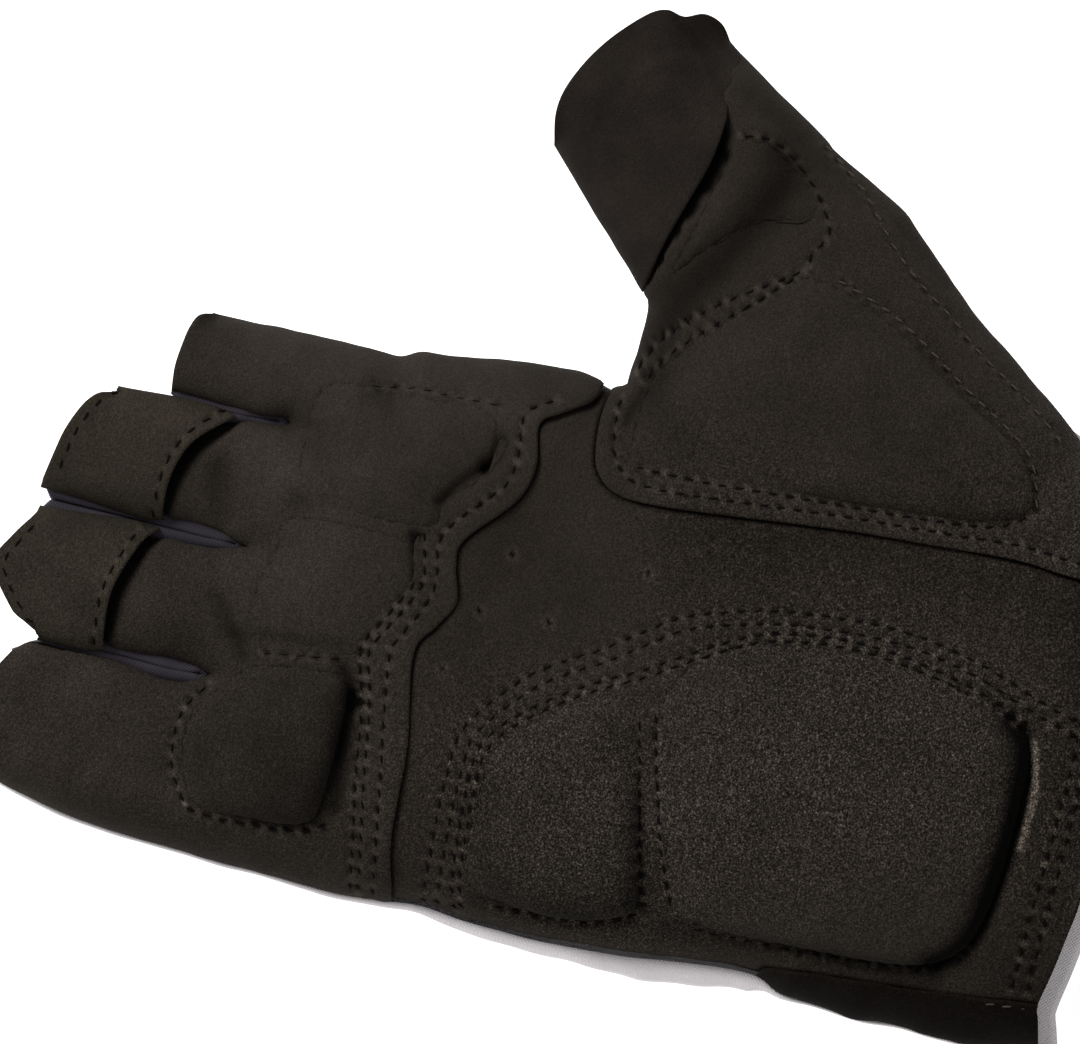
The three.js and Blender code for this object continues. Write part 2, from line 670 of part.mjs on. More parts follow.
// Gussets: a band down one finger's side, round the crotch and up the next finger's side
const notchPath = (crotch) => {
  const next = new Map(BORDER.filter((edge) => !isOpenEdge(edge)).map(([a, b]) => [a, b]));
  const previous = new Map([...next].map(([a, b]) => [b, a]));
  const start = PLAN.points.findIndex((p) => p.distanceTo(crotch) < 1e-3);
  const path = [start];
  while (next.has(path[path.length - 1])) path.push(next.get(path[path.length - 1]));
  while (previous.has(path[0])) path.unshift(previous.get(path[0]));
  return path;
};
const gusset = (crotch) => {
  const path = notchPath(crotch);
  const high = seamHeight + gussetHeight / 2 - gussetInset;
  const low = seamHeight - gussetHeight / 2 + gussetInset;
  const points = [];
  const triangles = [];
  path.forEach((v) => {
    const p = PLAN.points[v];
    const away = OUTWARD.get(v);
    const reach = distanceToLine(p, [crotch, crotch.clone().add(corner(0, 1e-3))]);
    const bulge = gussetBulge * zone(reach, crotchFlat, crotchFull);
    const at = (offset, z) => points.push(new THREE.Vector3(p.x + away.x * offset, p.y + away.y * offset, z));
    at(0, high);
    at(bulge, seamHeight);
    at(0, low);
    at(-wall, low);
    at(bulge - wall, seamHeight);
    at(-wall, high);
  });
  const ring = 6;
  for (let i = 0; i + 1 < path.length; i += 1) {
    for (let k = 0; k < ring; k += 1) {
      const a = i * ring + k;
      const b = i * ring + (k + 1) % ring;
      triangles.push([a, b, b + ring], [a, b + ring, a + ring]);
    }
  }
  const last = (path.length - 1) * ring;
  const cap = [[0, 1, 4], [0, 4, 5], [1, 2, 3], [1, 3, 4]];
  cap.forEach(([a, b, c]) => {
    triangles.push([a, c, b]);
    triangles.push([last + a, last + b, last + c]);
  });
  return geometryOf({ points, triangles });
};
['gusset_ring_little', 'gusset_middle_ring', 'gusset_index_middle'].forEach((name, i) => {
  addPiece(name, gusset(CROTCHES[i]), knit(0x1f1f22));
});

export default group;
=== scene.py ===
# %% [markdown]
# # A fingerless cycling glove, palm up
#
# This lesson dresses the plain solids of a right-hand cycling glove. The glove lies on its back,
# so we look down on suede palm panels, raised foam pads, rows of stitches and two pull tabs.
# Everything is measured in the same frame as the solids: X runs to the thumb, Y to the
# fingertips and Z up out of the palm. Plans are drawn in millimetres and scaled at the end.

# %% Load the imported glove
import math

import bmesh
import bpy
import numpy as np
from mathutils import Matrix, Vector
from mathutils.kdtree import KDTree


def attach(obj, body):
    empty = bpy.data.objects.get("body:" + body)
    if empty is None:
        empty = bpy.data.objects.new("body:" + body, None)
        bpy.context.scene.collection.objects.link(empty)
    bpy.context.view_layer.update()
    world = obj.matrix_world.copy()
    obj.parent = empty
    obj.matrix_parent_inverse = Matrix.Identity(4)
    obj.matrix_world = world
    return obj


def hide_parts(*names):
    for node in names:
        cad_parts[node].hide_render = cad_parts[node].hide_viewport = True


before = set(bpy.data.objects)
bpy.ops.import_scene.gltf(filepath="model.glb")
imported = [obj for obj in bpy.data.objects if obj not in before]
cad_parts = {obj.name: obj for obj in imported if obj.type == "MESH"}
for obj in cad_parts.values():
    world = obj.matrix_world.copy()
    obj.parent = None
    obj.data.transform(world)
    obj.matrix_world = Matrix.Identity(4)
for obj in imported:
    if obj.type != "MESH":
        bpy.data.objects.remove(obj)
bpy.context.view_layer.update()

# %% [markdown]
# ## The sizes of the glove
#
# The heights and roundings are those of the solids. Suede for gloves is about 0.6 mm thick.
# The palm panel lies one layer lower than the panels that lap over its edges.

# %% Sizes in millimetres
palm_height, cuff_height, finger_height, thumb_height = 27.0, 24.0, 20.0, 21.0
seam_height, gusset_height, notch_rise = 9.0, 8.0, 2.5
palm_rounding, finger_rounding, thumb_rounding, back_rounding = 26.0, 8.0, 14.0, 7.0
half_palm, finger_reach, wrist_reach, thumb_reach = 45.0, 98.0, 84.0, 59.0
suede_wall = 0.6
palm_level = -0.75
lap_width = 7.0
stitch_pitch = 2.7
cell = 0.55
print("palm", 2 * half_palm, "mm wide,", palm_height, "mm high; cloth cells", cell, "mm")

# %% [markdown]
# ## Lines in plan
#
# A glove maker cuts flat panels along smooth lines. Each line here is a short table of points
# with a smooth curve through them, walked at even steps so that cells stay even too.

# %% Curves through points
def walk(line, shares):
    """Points of a line at shares of its length, from 0 to 1."""
    line = np.asarray(line, float)
    run = np.concatenate([[0], np.cumsum(np.linalg.norm(np.diff(line, axis=0), axis=1))])
    return np.column_stack([np.interp(shares, run / run[-1], line[:, k]) for k in (0, 1)])


def curve(points, closed=False):
    """A dense smooth line through the points, or a smooth loop."""
    points = np.asarray(points, float)
    if closed:
        ends = np.vstack([points[-1:], points, points[:2]])
    else:
        ends = np.vstack([points[:1], points, points[-1:]])
    t = np.linspace(0, 1, 13)[:-1, None]
    parts = []
    for a, b, c, d in zip(ends[:-3], ends[1:-2], ends[2:-1], ends[3:]):
        parts.append(0.5 * (2 * b + (c - a) * t + (2 * a - 5 * b + 4 * c - d) * t ** 2
                            + (3 * b - a - 3 * c + d) * t ** 3))
    parts.append(points[:1] if closed else points[-1:])
    return np.vstack(parts)


def even(points, pieces, closed=False):
    return walk(curve(points, closed), np.linspace(0, 1, pieces + 1))


def part_of(line, low, high):
    """The stretch of a rising line between two heights of the plan."""
    between = (line[:, 1] > low) & (line[:, 1] < high)
    ends = [[np.interp(y, line[:, 1], line[:, 0]), y] for y in (low, high)]
    return np.vstack([ends[0], line[between], ends[1]])


trees = {}


def nearest(plan, line):
    """Each point's distance to a line, how far along it that is, and the side it lies on."""
    key = line.tobytes()
    if key not in trees:
        length = np.linalg.norm(np.diff(line, axis=0), axis=1).sum()
        spots = walk(line, np.linspace(0, 1, max(8, round(length / 0.12))))
        tree = KDTree(len(spots))
        for i, spot in enumerate(spots):
            tree.insert((*spot, 0), i)
        tree.balance()
        trees[key] = tree, spots, length / (len(spots) - 1)
    tree, spots, step = trees[key]
    index = np.array([tree.find((x, y, 0))[1] for x, y in plan], int)
    answers = []
    for start in (np.maximum(index - 1, 0), np.minimum(index, len(spots) - 2)):
        run, reach = spots[start + 1] - spots[start], plan - spots[start]
        share = np.clip((reach * run).sum(axis=1) / (run ** 2).sum(axis=1), 0, 1)
        distance = np.linalg.norm(reach - share[:, None] * run, axis=1)
        side = np.sign(run[:, 0] * reach[:, 1] - run[:, 1] * reach[:, 0])
        answers.append((distance, (start + share) * step, side))
    nearer = answers[1][0] < answers[0][0]
    return tuple(np.where(nearer, new, old) for old, new in zip(*answers))


# %% The outline of the glove
OUTER_EDGE = curve([
    (-46.4, -81.5), (-47.9, -72.0), (-47.9, -65.0), (-47.4, -59.1), (-47.7, -52.7), (-47.0, -46.0),
    (-46.4, -39.4), (-44.8, -36.4), (-44.2, -34.0), (-44.1, -30.0), (-44.4, -25.8), (-45.0, -19.4),
    (-45.7, -13.0), (-46.1, 0.0),
    (-45.8, 6.7), (-45.4, 13.3), (-44.5, 20.0), (-45.0, 26.4), (-45.4, 32.9), (-45.1, 39.5),
    (-44.6, 46.2), (-44.4, 52.8), (-43.8, 59.4), (-43.4, 66.1), (-42.8, 72.8), (-41.8, 79.5),
    (-40.0, 86.4), (-38.2, 92.1)])
WRIST_EDGE = curve([
    (-46.4, -81.5), (-42.0, -80.3), (-40.0, -79.8), (-33.8, -81.0), (-27.7, -82.0), (-21.7, -82.9),
    (-10.0, -83.8), (10.0, -84.0), (30.0, -79.5), (49.5, -68.5)])
THUMB_ROOT = curve([(49.5, -68.5), (46.5, -30.2), (44.0, 5.0)])
INDEX_EDGE = curve([
    (44.0, 5.0), (43.4, 7.6), (44.2, 9.6), (44.9, 12.8), (44.7, 16.0), (44.3, 20.0), (43.8, 25.6),
    (43.1, 32.0), (42.8, 35.3), (42.4, 38.4), (40.9, 41.3), (41.0, 44.6), (41.3, 48.0), (41.4, 57.8),
    (41.4, 66.0), (41.5, 71.0)])
THUMB_OUTER_EDGE = curve([
    (49.5, -68.5), (52.0, -66.1), (57.1, -59.6), (62.4, -52.9), (67.5, -46.7), (72.8, -40.9),
    (78.0, -35.2), (80.8, -32.0), (85.4, -24.2), (90.4, -16.3), (95.5, -8.4), (99.4, -2.2), (101.2, 0.2)])
THUMB_WEB_EDGE = curve([
    (44.0, 5.0), (50.0, 4.8), (56.8, 4.4), (59.0, 5.6), (65.1, 11.2), (74.5, 20.2), (79.1, 24.3)])
THUMB_TIP = curve([
    (101.2, 0.2), (103.5, 2.1), (104.4, 5.1), (103.3, 8.3), (103.8, 11.0), (102.7, 13.7), (99.1, 17.6),
    (95.6, 20.5), (91.7, 22.9), (87.3, 24.7), (83.4, 25.1), (79.1, 24.3)])
CROTCHES = np.array([(-15.2, 60.5), (6.0, 59.0), (26.8, 57.0)])
FINGER_SIDES = {
    "little": (None, [(-15.2, 60.5), (-17.4, 66.0), (-16.0, 77.0), (-15.4, 88.0), (-18.0, 92.3)]),
    "ring": ([(-15.2, 60.5), (-14.1, 66.0), (-14.2, 78.0), (-14.3, 88.8)],
             [(6.0, 59.0), (4.8, 66.0), (5.0, 75.0), (4.6, 85.0), (4.5, 92.7)]),
    "middle": ([(6.0, 59.0), (7.5, 66.0), (8.0, 75.0), (9.0, 85.0), (9.5, 93.2)],
               [(26.8, 57.0), (26.0, 61.5), (25.5, 67.0), (25.6, 78.0), (25.8, 84.5)]),
    "index": ([(26.8, 57.0), (27.0, 61.5), (27.4, 67.0), (27.8, 76.0)], None),
}
FINGER_ENDS = {
    "little": [(-38.2, 92.1), (-33.0, 96.0), (-26.0, 96.5), (-18.0, 92.3)],
    "ring": [(-14.3, 88.8), (-12.8, 91.6), (-11.3, 93.8), (-5.0, 98.0), (0.0, 96.0), (4.5, 92.7)],
    "middle": [(9.5, 93.2), (16.4, 91.8), (19.1, 91.0), (21.5, 90.0), (23.7, 88.7), (25.3, 86.9),
               (25.8, 84.5)],
    "index": [(27.8, 76.0), (32.0, 76.2), (36.3, 75.6), (39.0, 74.8), (40.9, 73.5), (41.5, 71.0)],
}
FINGERS = list(FINGER_ENDS)
FINGER_LENGTHS = (34, 36, 33, 17)  # from the crotch to the tip
print("outline:", len(OUTER_EDGE) + len(WRIST_EDGE), "points on the outer edge and wrist")

# %% The seams between the panels
FINGER_SEAM = curve([
    (-54.0, 24.5), (-45.0, 24.7), (-35.0, 26.7), (-20.0, 27.2), (-5.4, 29.3), (0.0, 26.5), (4.3, 24.2),
    (10.0, 25.6), (14.3, 25.1), (22.1, 18.2), (28.0, 16.4), (34.5, 17.3), (37.1, 14.3), (40.0, 9.6),
    (43.2, 8.4), (48.0, 7.8)])
THUMB_SEAM = curve([
    (48.0, 6.7), (43.2, 7.2), (37.0, 8.0), (30.0, 7.0), (26.5, 3.0), (26.0, -4.0), (26.8, -15.1),
    (28.4, -35.0), (29.0, -50.0), (29.4, -62.0), (28.6, -71.0), (28.0, -89.0)])
THUMB_CUT = curve([
    (59.0, 5.6), (63.5, 4.7), (68.7, 3.4), (75.0, 1.3), (81.5, -0.8), (88.0, -1.7), (94.0, -1.6),
    (99.4, -2.2)])
STRIP_SEAM = curve([(-39.8, -79.8), (-41.3, -65.0), (-42.2, -50.0), (-43.2, -37.0), (-44.4, -35.2)])
PAD_OUTLINES = {
    "pad_heel_large": [
        (-36.5, -19.3), (-27.0, -16.0), (-15.0, -12.0), (-5.0, -10.8), (3.0, -15.1), (7.5, -23.0),
        (9.8, -38.0), (8.0, -56.0), (2.0, -68.9), (-10.0, -70.3), (-30.0, -68.0), (-37.4, -60.0),
        (-38.9, -40.0), (-39.1, -26.0)],
    "pad_heel_small": [
        (-41.9, 7.3), (-42.1, -5.0), (-39.3, -13.0), (-35.0, -13.5), (-25.0, -11.5), (-10.0, -8.0),
        (-5.0, -4.0), (-7.1, 2.5), (-16.0, 12.8), (-22.0, 14.6), (-38.2, 14.2)],
    "pad_thenar": [
        (31.9, 0.0), (32.5, -20.0), (33.3, -40.0), (34.5, -55.0), (38.0, -62.0), (45.7, -58.9),
        (53.2, -47.9), (62.0, -35.0), (66.4, -24.0), (66.0, -17.0), (59.2, -10.4), (50.4, -1.7),
        (45.0, 2.0), (34.2, 2.5)],
    "pad_thumb_web": [
        (62.1, 2.0), (70.0, 0.1), (80.0, -2.5), (85.7, -3.8), (86.4, -9.3), (84.6, -12.9),
        (81.0, -17.0), (78.0, -19.0), (75.0, -17.5), (74.5, -13.0), (72.0, -8.0), (66.8, -2.5)],
    "pad_knuckle_little": [
        (-36.0, 58.8), (-28.0, 62.5), (-20.7, 61.9), (-16.6, 58.3), (-12.2, 53.9), (-10.6, 42.1),
        (-13.0, 38.2), (-31.0, 38.7), (-35.5, 41.2), (-36.5, 50.0)],
    "pad_knuckle_ring": [
        (-7.2, 54.9), (-7.4, 39.2), (0.0, 36.0), (5.0, 32.3), (11.7, 33.5), (13.0, 45.0),
        (11.7, 53.9), (6.0, 54.5), (0.0, 56.3)],
    "pad_knuckle_index": [
        (15.1, 31.5), (20.0, 29.5), (24.0, 25.0), (31.0, 23.5), (35.0, 26.0), (35.5, 38.0),
        (34.0, 52.0), (20.0, 53.4), (15.5, 48.0)],
}
PADS = {name: even(points, 160, closed=True) for name, points in PAD_OUTLINES.items()}
TAB_MOUTHS = {
    "pull_tab_ring": ("ring", curve([(-15.0, 78.0), (-5.7, 78.6), (2.1, 75.7), (5.0, 73.0)])),
    "pull_tab_middle": ("middle", curve([(7.0, 73.0), (14.0, 73.2), (20.0, 71.0), (25.2, 65.0)])),
}
print("seams and", len(PADS), "pad outlines drawn")

# %% [markdown]
# ## The form of the lying glove
#
# An empty glove that lies on its back is flat below and rounds over at its closed edges. Its
# height at a point depends on how deep that point is inside the outline. The distances to all
# edges are blended softly, so that no ridge shows where two edges are equally far away.

# %% Height of the palm side and of the back
SIDES = [OUTER_EDGE, np.vstack([INDEX_EDGE[::-1], THUMB_WEB_EDGE[1:]]), THUMB_OUTER_EDGE]
NOTCHES = [np.vstack([curve(FINGER_SIDES[a][1])[::-1], curve(FINGER_SIDES[b][0])[1:]])
           for a, b in zip(FINGERS, FINGERS[1:])]
DENTS = [  # centre x and y, half width and half length, depth, all in millimetres
    (6.8, 9.8, 22.5, 15.7, 2.7), (-20.2, 36.3, 18.0, 4.9, 1.6), (53.9, -2.5, 11.2, 15.7, 3.2),
    (20.2, -46.2, 7.2, 39.2, 1.6), (0.0, 64.7, 45.0, 3.9, 1.1)]


def zone(value, low, high):
    t = np.clip((value - low) / (high - low), 0, 1)
    return t * t * (3 - 2 * t)


def mix(a, b, share):
    return a + (b - a) * share


def bell(distance, width):
    """1 at no distance, fading away over the width."""
    return np.exp(-(distance / width) ** 2)


def round_over(share):
    left = 1 - np.clip(share, 0, 1)
    return np.sqrt(1 - left * left)


def survey(plan):
    """How deep each point is inside the outline, and which part of the hand it covers."""
    sides = [nearest(plan, line)[0] for line in SIDES]
    notches = [nearest(plan, line)[0] for line in NOTCHES]
    near = np.maximum(np.min(sides + notches, axis=0), 1e-7)
    blend = np.sum([(near / np.maximum(d, 1e-7)) ** 4 for d in sides + notches], axis=0)
    to_side, to_notch = np.min(sides, axis=0), np.min(notches, axis=0)
    return {
        "depth": np.maximum(near * blend ** -0.25 - 0.012, 0),
        "split": to_side ** 2 / (to_side ** 2 + to_notch ** 2 + 1e-12) * gusset_height / 2,
        "finger": zone(plan[:, 1], 0.42 * finger_reach, 0.64 * finger_reach),
        "thumb": zone(plan[:, 0], half_palm + 0.08 * thumb_reach, half_palm + 0.5 * thumb_reach),
        "cuff": zone(-plan[:, 1], 0.45 * wrist_reach, wrist_reach),
    }


def palm_side_height(plan):
    at = survey(plan)
    rounding = mix(mix(palm_rounding, finger_rounding, at["finger"]), thumb_rounding, at["thumb"])
    crown = mix(mix(mix(palm_height, cuff_height, at["cuff"]), finger_height, at["finger"]),
                thumb_height, at["thumb"])
    foot = seam_height + 0.15 + at["split"] * (1 + notch_rise / 4)
    dent = sum(deep * np.exp(-((plan[:, 0] - x) / w) ** 2 - ((plan[:, 1] - y) / h) ** 2)
               for x, y, w, h, deep in DENTS)
    return foot + (crown - dent * (1 - 0.5 * at["finger"]) - foot) * round_over(at["depth"] / rounding)


def back_height(plan):
    at = survey(plan)
    foot = seam_height - 0.15 - at["split"]
    return foot, foot * (1 - round_over(at["depth"] / back_rounding))


sample_heights = palm_side_height(np.array([(0.0, 0.0), (0.0, 60.0), (75.0, -5.0)]))
print("height over the palm, a knuckle and the thumb:", np.round(sample_heights, 1), "mm")

# %% [markdown]
# ## Cloth patches
#
# Each panel is a four-sided patch between four lines. Blender's grid operator makes the mesh and
# every point of it then moves to its place between the lines, so the border follows the cut
# edge exactly. Cells crowd together towards an edge that rounds over steeply.

# %% A grid between four lines
def crowd(t, left, right):
    return t ** left / (t ** left + (1 - t) ** right)


def lay_patch(bm, size, bottom, top, left, right, crowded=None):
    """size is columns and rows. crowded: how cells crowd to the left, right and top, fixed or by v."""
    grid = bmesh.ops.create_grid(bm, x_segments=size[0], y_segments=size[1], size=0.5)["verts"]
    uv = np.array([v.co[:2] for v in grid]) + 0.5
    u, v = uv[:, 0], uv[:, 1]
    if crowded:
        to_left, to_right, to_top = crowded(v) if callable(crowded) else crowded
        v = crowd(v, 1.0, to_top)
        u = crowd(u, to_left, to_right)
    b, t, l, r = walk(bottom, u), walk(top, u), walk(left, v), walk(right, v)
    u, v = u[:, None], v[:, None]
    corners = ((1 - u) * (1 - v) * bottom[0] + u * (1 - v) * bottom[-1]
               + (1 - u) * v * top[0] + u * v * top[-1])
    plan = (1 - v) * b + v * t + (1 - u) * l + u * r - corners
    for vert, (x, y) in zip(grid, plan):
        vert.co = (x, y, 0)


def plan_of(bm):
    return np.array([v.co[:2] for v in bm.verts])


def ripples(plan, size, seed):
    """A smooth uneven field from -1 to 1, the same each run, with hills about size wide."""
    chance = np.random.default_rng(seed)
    field = np.zeros(len(plan))
    for _ in range(9):
        way, phase, scale = chance.uniform(0, 2 * math.pi), chance.uniform(0, 7), chance.uniform(0.6, 1.7)
        run = plan[:, 0] * math.cos(way) + plan[:, 1] * math.sin(way)
        field += np.sin(run * math.pi / (size * scale) + phase)
    return field / 4.5


print("one cell of cloth is", cell, "mm wide")

# %% [markdown]
# ## Stitches press the suede down
#
# A row of stitches pulls the suede into a furrow that is deepest at each needle hole. The rows
# are listed once, and used twice: to press the panels down, and later to lay the thread.

# %% Rows of stitches
def beside(points, distance):
    """A line moved to its left."""
    line = curve(points)
    step = np.gradient(line, axis=0)
    step /= np.linalg.norm(step, axis=1)[:, None]
    return line + distance * np.column_stack([-step[:, 1], step[:, 0]])


ARC_OUTER = [
    (-45.4, 18.6), (-40, 19), (-30, 19.3), (-20, 19), (-16, 18.4), (-12.1, 16), (-8, 12.5), (-4.6, 9),
    (-1.4, 4), (0.8, 0), (4.6, -5.5), (8.7, -12), (11.7, -21.6), (13, -28), (13.6, -35), (13.9, -42),
    (13.2, -50.8), (10.8, -60.4), (7.4, -69.4), (5.1, -76.8), (4.6, -82.8)]
ARC_INNER = [
    (-45.2, 13.8), (-40, 15.4), (-30, 16), (-20, 15.9), (-15.4, 14.2), (-11.5, 10.6), (-7.5, 5.4),
    (-3.8, -0.6), (-0.6, -7), (3.2, -13.4), (8.2, -22.6), (10.3, -31), (10.8, -40.5), (9.6, -50.3),
    (7.2, -60), (3.8, -68.3)]
LAP_ROPE = [
    (-45.2, 30.8), (-40.2, 31.5), (-27.5, 33.5), (-14.7, 35.2), (-6.5, 37), (-2.8, 35.5), (2.4, 32.6),
    (6.7, 30.9), (13.5, 32.2), (19.4, 30.3), (23.1, 28), (26.6, 24.1), (30.7, 22), (35.6, 22.6)]
PALM_ROWS = [
    beside(ARC_OUTER, 1.0), beside(ARC_OUTER, -1.1), beside(ARC_INNER, 0.55), beside(ARC_INNER, -0.65),
    curve([(-7.6, -7.9), (-20, -10.6), (-32.1, -13.3), (-37.5, -15.2)]),
    curve([(-6, -10.2), (-19.4, -13.4), (-28, -15.8), (-37.5, -19.4)]),
    curve([(-42.8, 9), (-43, 4.6), (-42.9, -0.3), (-42.3, -7), (-40.2, -13.2), (-36.4, -15.3)]),
    curve([(-39.9, -23), (-40, -30), (-39.8, -42), (-38.9, -55), (-37.6, -61), (-33, -67.5)]),
    curve([(-38.5, -75.2), (-25.7, -75.6), (-13, -76.4), (0, -77), (14, -76.6), (26, -74.2)]),
    curve([(-38.5, -77.8), (-25, -78.1), (-8, -78.9), (8, -79.3), (24, -77.2)]),
]
FINGER_ROWS = [
    beside(LAP_ROPE[:9], 0.65), beside(LAP_ROPE[:9], -0.65),
    curve([(-45.4, 27.7), (-39.6, 28.5), (-26.8, 30.3), (-7.5, 33), (-3, 32), (2, 29.5), (6.6, 28.2),
           (13.1, 29), (17, 27), (22.5, 22), (25, 20.2), (29.5, 19.6), (36, 19.8), (39.4, 15.5)]),
    curve([(-36.4, 60.2), (-37.4, 57.1), (-37.6, 48), (-36.8, 41), (-34.9, 37.6)]),
    curve([(-36.4, 60.2), (-30, 63.6), (-22, 63.7), (-16.4, 60.2)]),
    curve([(-10.2, 53.6), (-9.2, 47), (-8.4, 40.3)]),
    curve([(36.4, 23.8), (36.6, 30), (36.6, 37), (35.6, 46)]),
]
THUMB_ROWS = [
    curve([(42.4, 5.4), (38.6, 5.6), (33, 4.7), (29.4, 1.6), (28.6, -4), (29.2, -15), (30.6, -35),
           (31.2, -50), (31.8, -62), (31, -71), (30.6, -79)]),
    curve([(31.6, 1.6), (31.3, -4), (31.2, -10), (31.6, -20), (32.2, -35), (33, -50), (34.2, -58),
           (37.4, -63)]),
    curve([(46.2, 4.2), (52, 1.8), (58.9, -6), (64, -13.5), (68.2, -19.7)]),
    curve([(45.2, 2.6), (50.2, -0.6), (57.8, -8.6), (62, -13.4), (66.2, -17.6)]),
    curve([(86.6, -4.6), (87.2, -9), (85.8, -12.9), (81.8, -17.2), (78, -20), (74.1, -21.6),
           (70.5, -19.6), (68.2, -19.7)]),
    curve([(88.4, -17.8), (82.4, -25.4), (75, -31.6), (69.9, -37), (65.1, -43.7), (60.6, -49.2),
           (54.9, -57.9), (49.4, -64.8)]),
    curve([(67.4, -24), (63, -35.4), (54.2, -48.6), (46.6, -59.8), (38.4, -63)]),
]
PALE_ROWS = [THUMB_ROWS[5], THUMB_ROWS[6], curve([(-40.2, -79), (-40.6, -74.5), (-40.9, -70)])]
FAINT_ROWS = [FINGER_ROWS[5], FINGER_ROWS[6], PALM_ROWS[7]]


def press_rows(plan, rows, depth, width=0.6):
    """A stitch pulls the suede down under its thread. Between two stitches the suede puffs up."""
    lift, tone = np.zeros(len(plan)), np.zeros(len(plan))
    for row in rows:
        close = np.all((plan > row.min(0) - 4) & (plan < row.max(0) + 4), axis=1)
        if not close.any():
            continue
        distance, along, _ = nearest(plan[close], row)
        puff = 0.5 + 0.5 * np.cos(2 * math.pi * along / stitch_pitch)
        furrow = bell(distance, width)
        lift[close] -= depth * furrow * (1 - 0.65 * puff)
        faint = any(row is other for other in PALE_ROWS + FAINT_ROWS)
        # Painted highlight on the puffs between stitches and painted shade in the furrow under each stitch;
        # the flecks near a row are random.
        light = (0.32 if faint else 0.8) * (1 + 0.9 * ripples(plan[close], 2.2, 9)) * furrow * puff ** 3
        dark = (0.2 if faint else 0.6) * (1 - puff) * bell(distance, 0.32)
        fleck = 0.55 * ripples(plan[close], 0.8, 8) * bell(distance, 0.9)
        tone[close] += light - dark + fleck
    return lift, tone


all_rows = PALM_ROWS + FINGER_ROWS + THUMB_ROWS
sewn = sum(np.linalg.norm(np.diff(row, axis=0), axis=1).sum() for row in all_rows)
print("rows of stitches:", round(sewn), "mm in all")

# %% [markdown]
# ## Lifting a panel into shape
#
# A flat patch becomes cloth in two moves. First each point rises to the height of the glove, then
# it moves along its own normal by the layer it lies in, plus the furrows, valleys and folds.
# The tone is kept as an attribute: it holds painted shade in furrows, folds and gaps, painted highlights on
# puffs and creases, and spots made lighter or darker.

# %% Lift, then turn into an object
def lifted(bm, form):
    """Move a flat mesh to the palm side. form gives each point's lift along its normal and tone."""
    plan = plan_of(bm)
    for vert, z in zip(bm.verts, palm_side_height(plan)):
        vert.co.z = z
    bm.normal_update()
    lift, tone = form(plan)
    for vert, rise in zip(bm.verts, lift):
        vert.co += vert.normal * rise
    return tone


NAP = [  # x, y and how grainy the suede is there: 0 is plain, 1 and more is coarse
    (14, 10, 0.3), (19, -22, 1.0), (-6, -41, 1.3), (-25, 3, 1.25), (-24, 49, 0.6), (-26, 78, 0.5),
    (-5, 71, 0.45), (30, 60, 0.3), (20, 85, 0.35), (48, -27, 0.42), (75, -5, 0.22), (95, 10, 0.22),
    (60, -45, 0.4), (30, -65, 1.0), (-44, -60, 0.6), (0, -78, 1.2), (36, 30, 0.3), (0, 45, 0.4),
    (-42, 30, 0.6)]
nap_reach = 18.0


def spot_of(plan, x, y, wide):
    """1 at a spot, fading away over its width."""
    return np.exp(-((plan[:, 0] - x) ** 2 + (plan[:, 1] - y) ** 2) / wide ** 2)


def grain_of(plan):
    weight = np.array([spot_of(plan, x, y, nap_reach) + 1e-9 for x, y, _ in NAP])
    return np.array([grain for _, _, grain in NAP]) @ weight / weight.sum(0)


def finish_piece(bm, name, tone=None, wall=suede_wall, nodes=()):
    """A mesh in millimetres becomes a smooth object in metres that rides on the glove."""
    grain = grain_of(plan_of(bm))
    bmesh.ops.scale(bm, vec=Vector((0.001,) * 3), verts=bm.verts)
    mesh = bpy.data.meshes.new(name)
    bm.to_mesh(mesh)
    bm.free()
    mesh.shade_smooth()
    for label, values in (("tone", 0 * grain if tone is None else tone), ("grain", grain)):
        layer = mesh.attributes.new(label, "FLOAT", "POINT")
        layer.data.foreach_set("value", np.asarray(values, np.float32))
    piece = bpy.data.objects.new(name, mesh)
    bpy.context.scene.collection.objects.link(piece)
    if wall:
        solid = piece.modifiers.new("cloth thickness", "SOLIDIFY")
        solid.thickness = wall * 0.001
        solid.offset = -1
        solid.thickness_clamp = 1.2
    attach(piece, "root")
    if nodes:
        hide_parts(*nodes)
    print(f"{name}: {len(mesh.polygons)} faces")
    return piece


def inside(plan, loop):
    """Which points lie inside a closed outline."""
    within = np.zeros(len(plan), bool)
    x, y = plan[:, 0], plan[:, 1]
    for (ax, ay), (bx, by) in zip(loop[:-1], loop[1:]):
        if ay != by:
            within ^= ((ay > y) != (by > y)) & (x < (bx - ax) * (y - ay) / (by - ay) + ax)
    return within


PAD_MAKE = {  # layer it lies on, crown, edge width in the shade and in the light, valley, darker
    "pad_heel_large": (palm_level, 2.9, 5.0, 9.0, 0.7, 0.09),
    "pad_heel_small": (palm_level, 2.6, 4.4, 8.0, 0.5, 0.14),
    "pad_thenar": (0.0, 1.7, 4.0, 9.0, 0.2, 0.05),
    "pad_thumb_web": (0.0, 0.5, 5.0, 5.0, 0.0, 0.0),
    "pad_knuckle_little": (0.0, 1.7, 4.4, 6.0, 0.6, 0.15),
    "pad_knuckle_ring": (0.0, 0.6, 5.0, 6.0, 0.0, -0.05),
    "pad_knuckle_index": (0.0, 0.8, 4.0, 7.0, 0.0, 0.03),
}
lamp_side = np.array([0.57, 0.82])  # the way to the lamp, in plan


def shaded(name, plan):
    """1 on a pad's side towards the wrist and the little finger, 0 on the side of the lamp."""
    away = plan - PADS[name][:-1].mean(0)
    return zone(-(away @ lamp_side) / (np.linalg.norm(away, axis=1) + 1e-6), -0.3, 0.8)


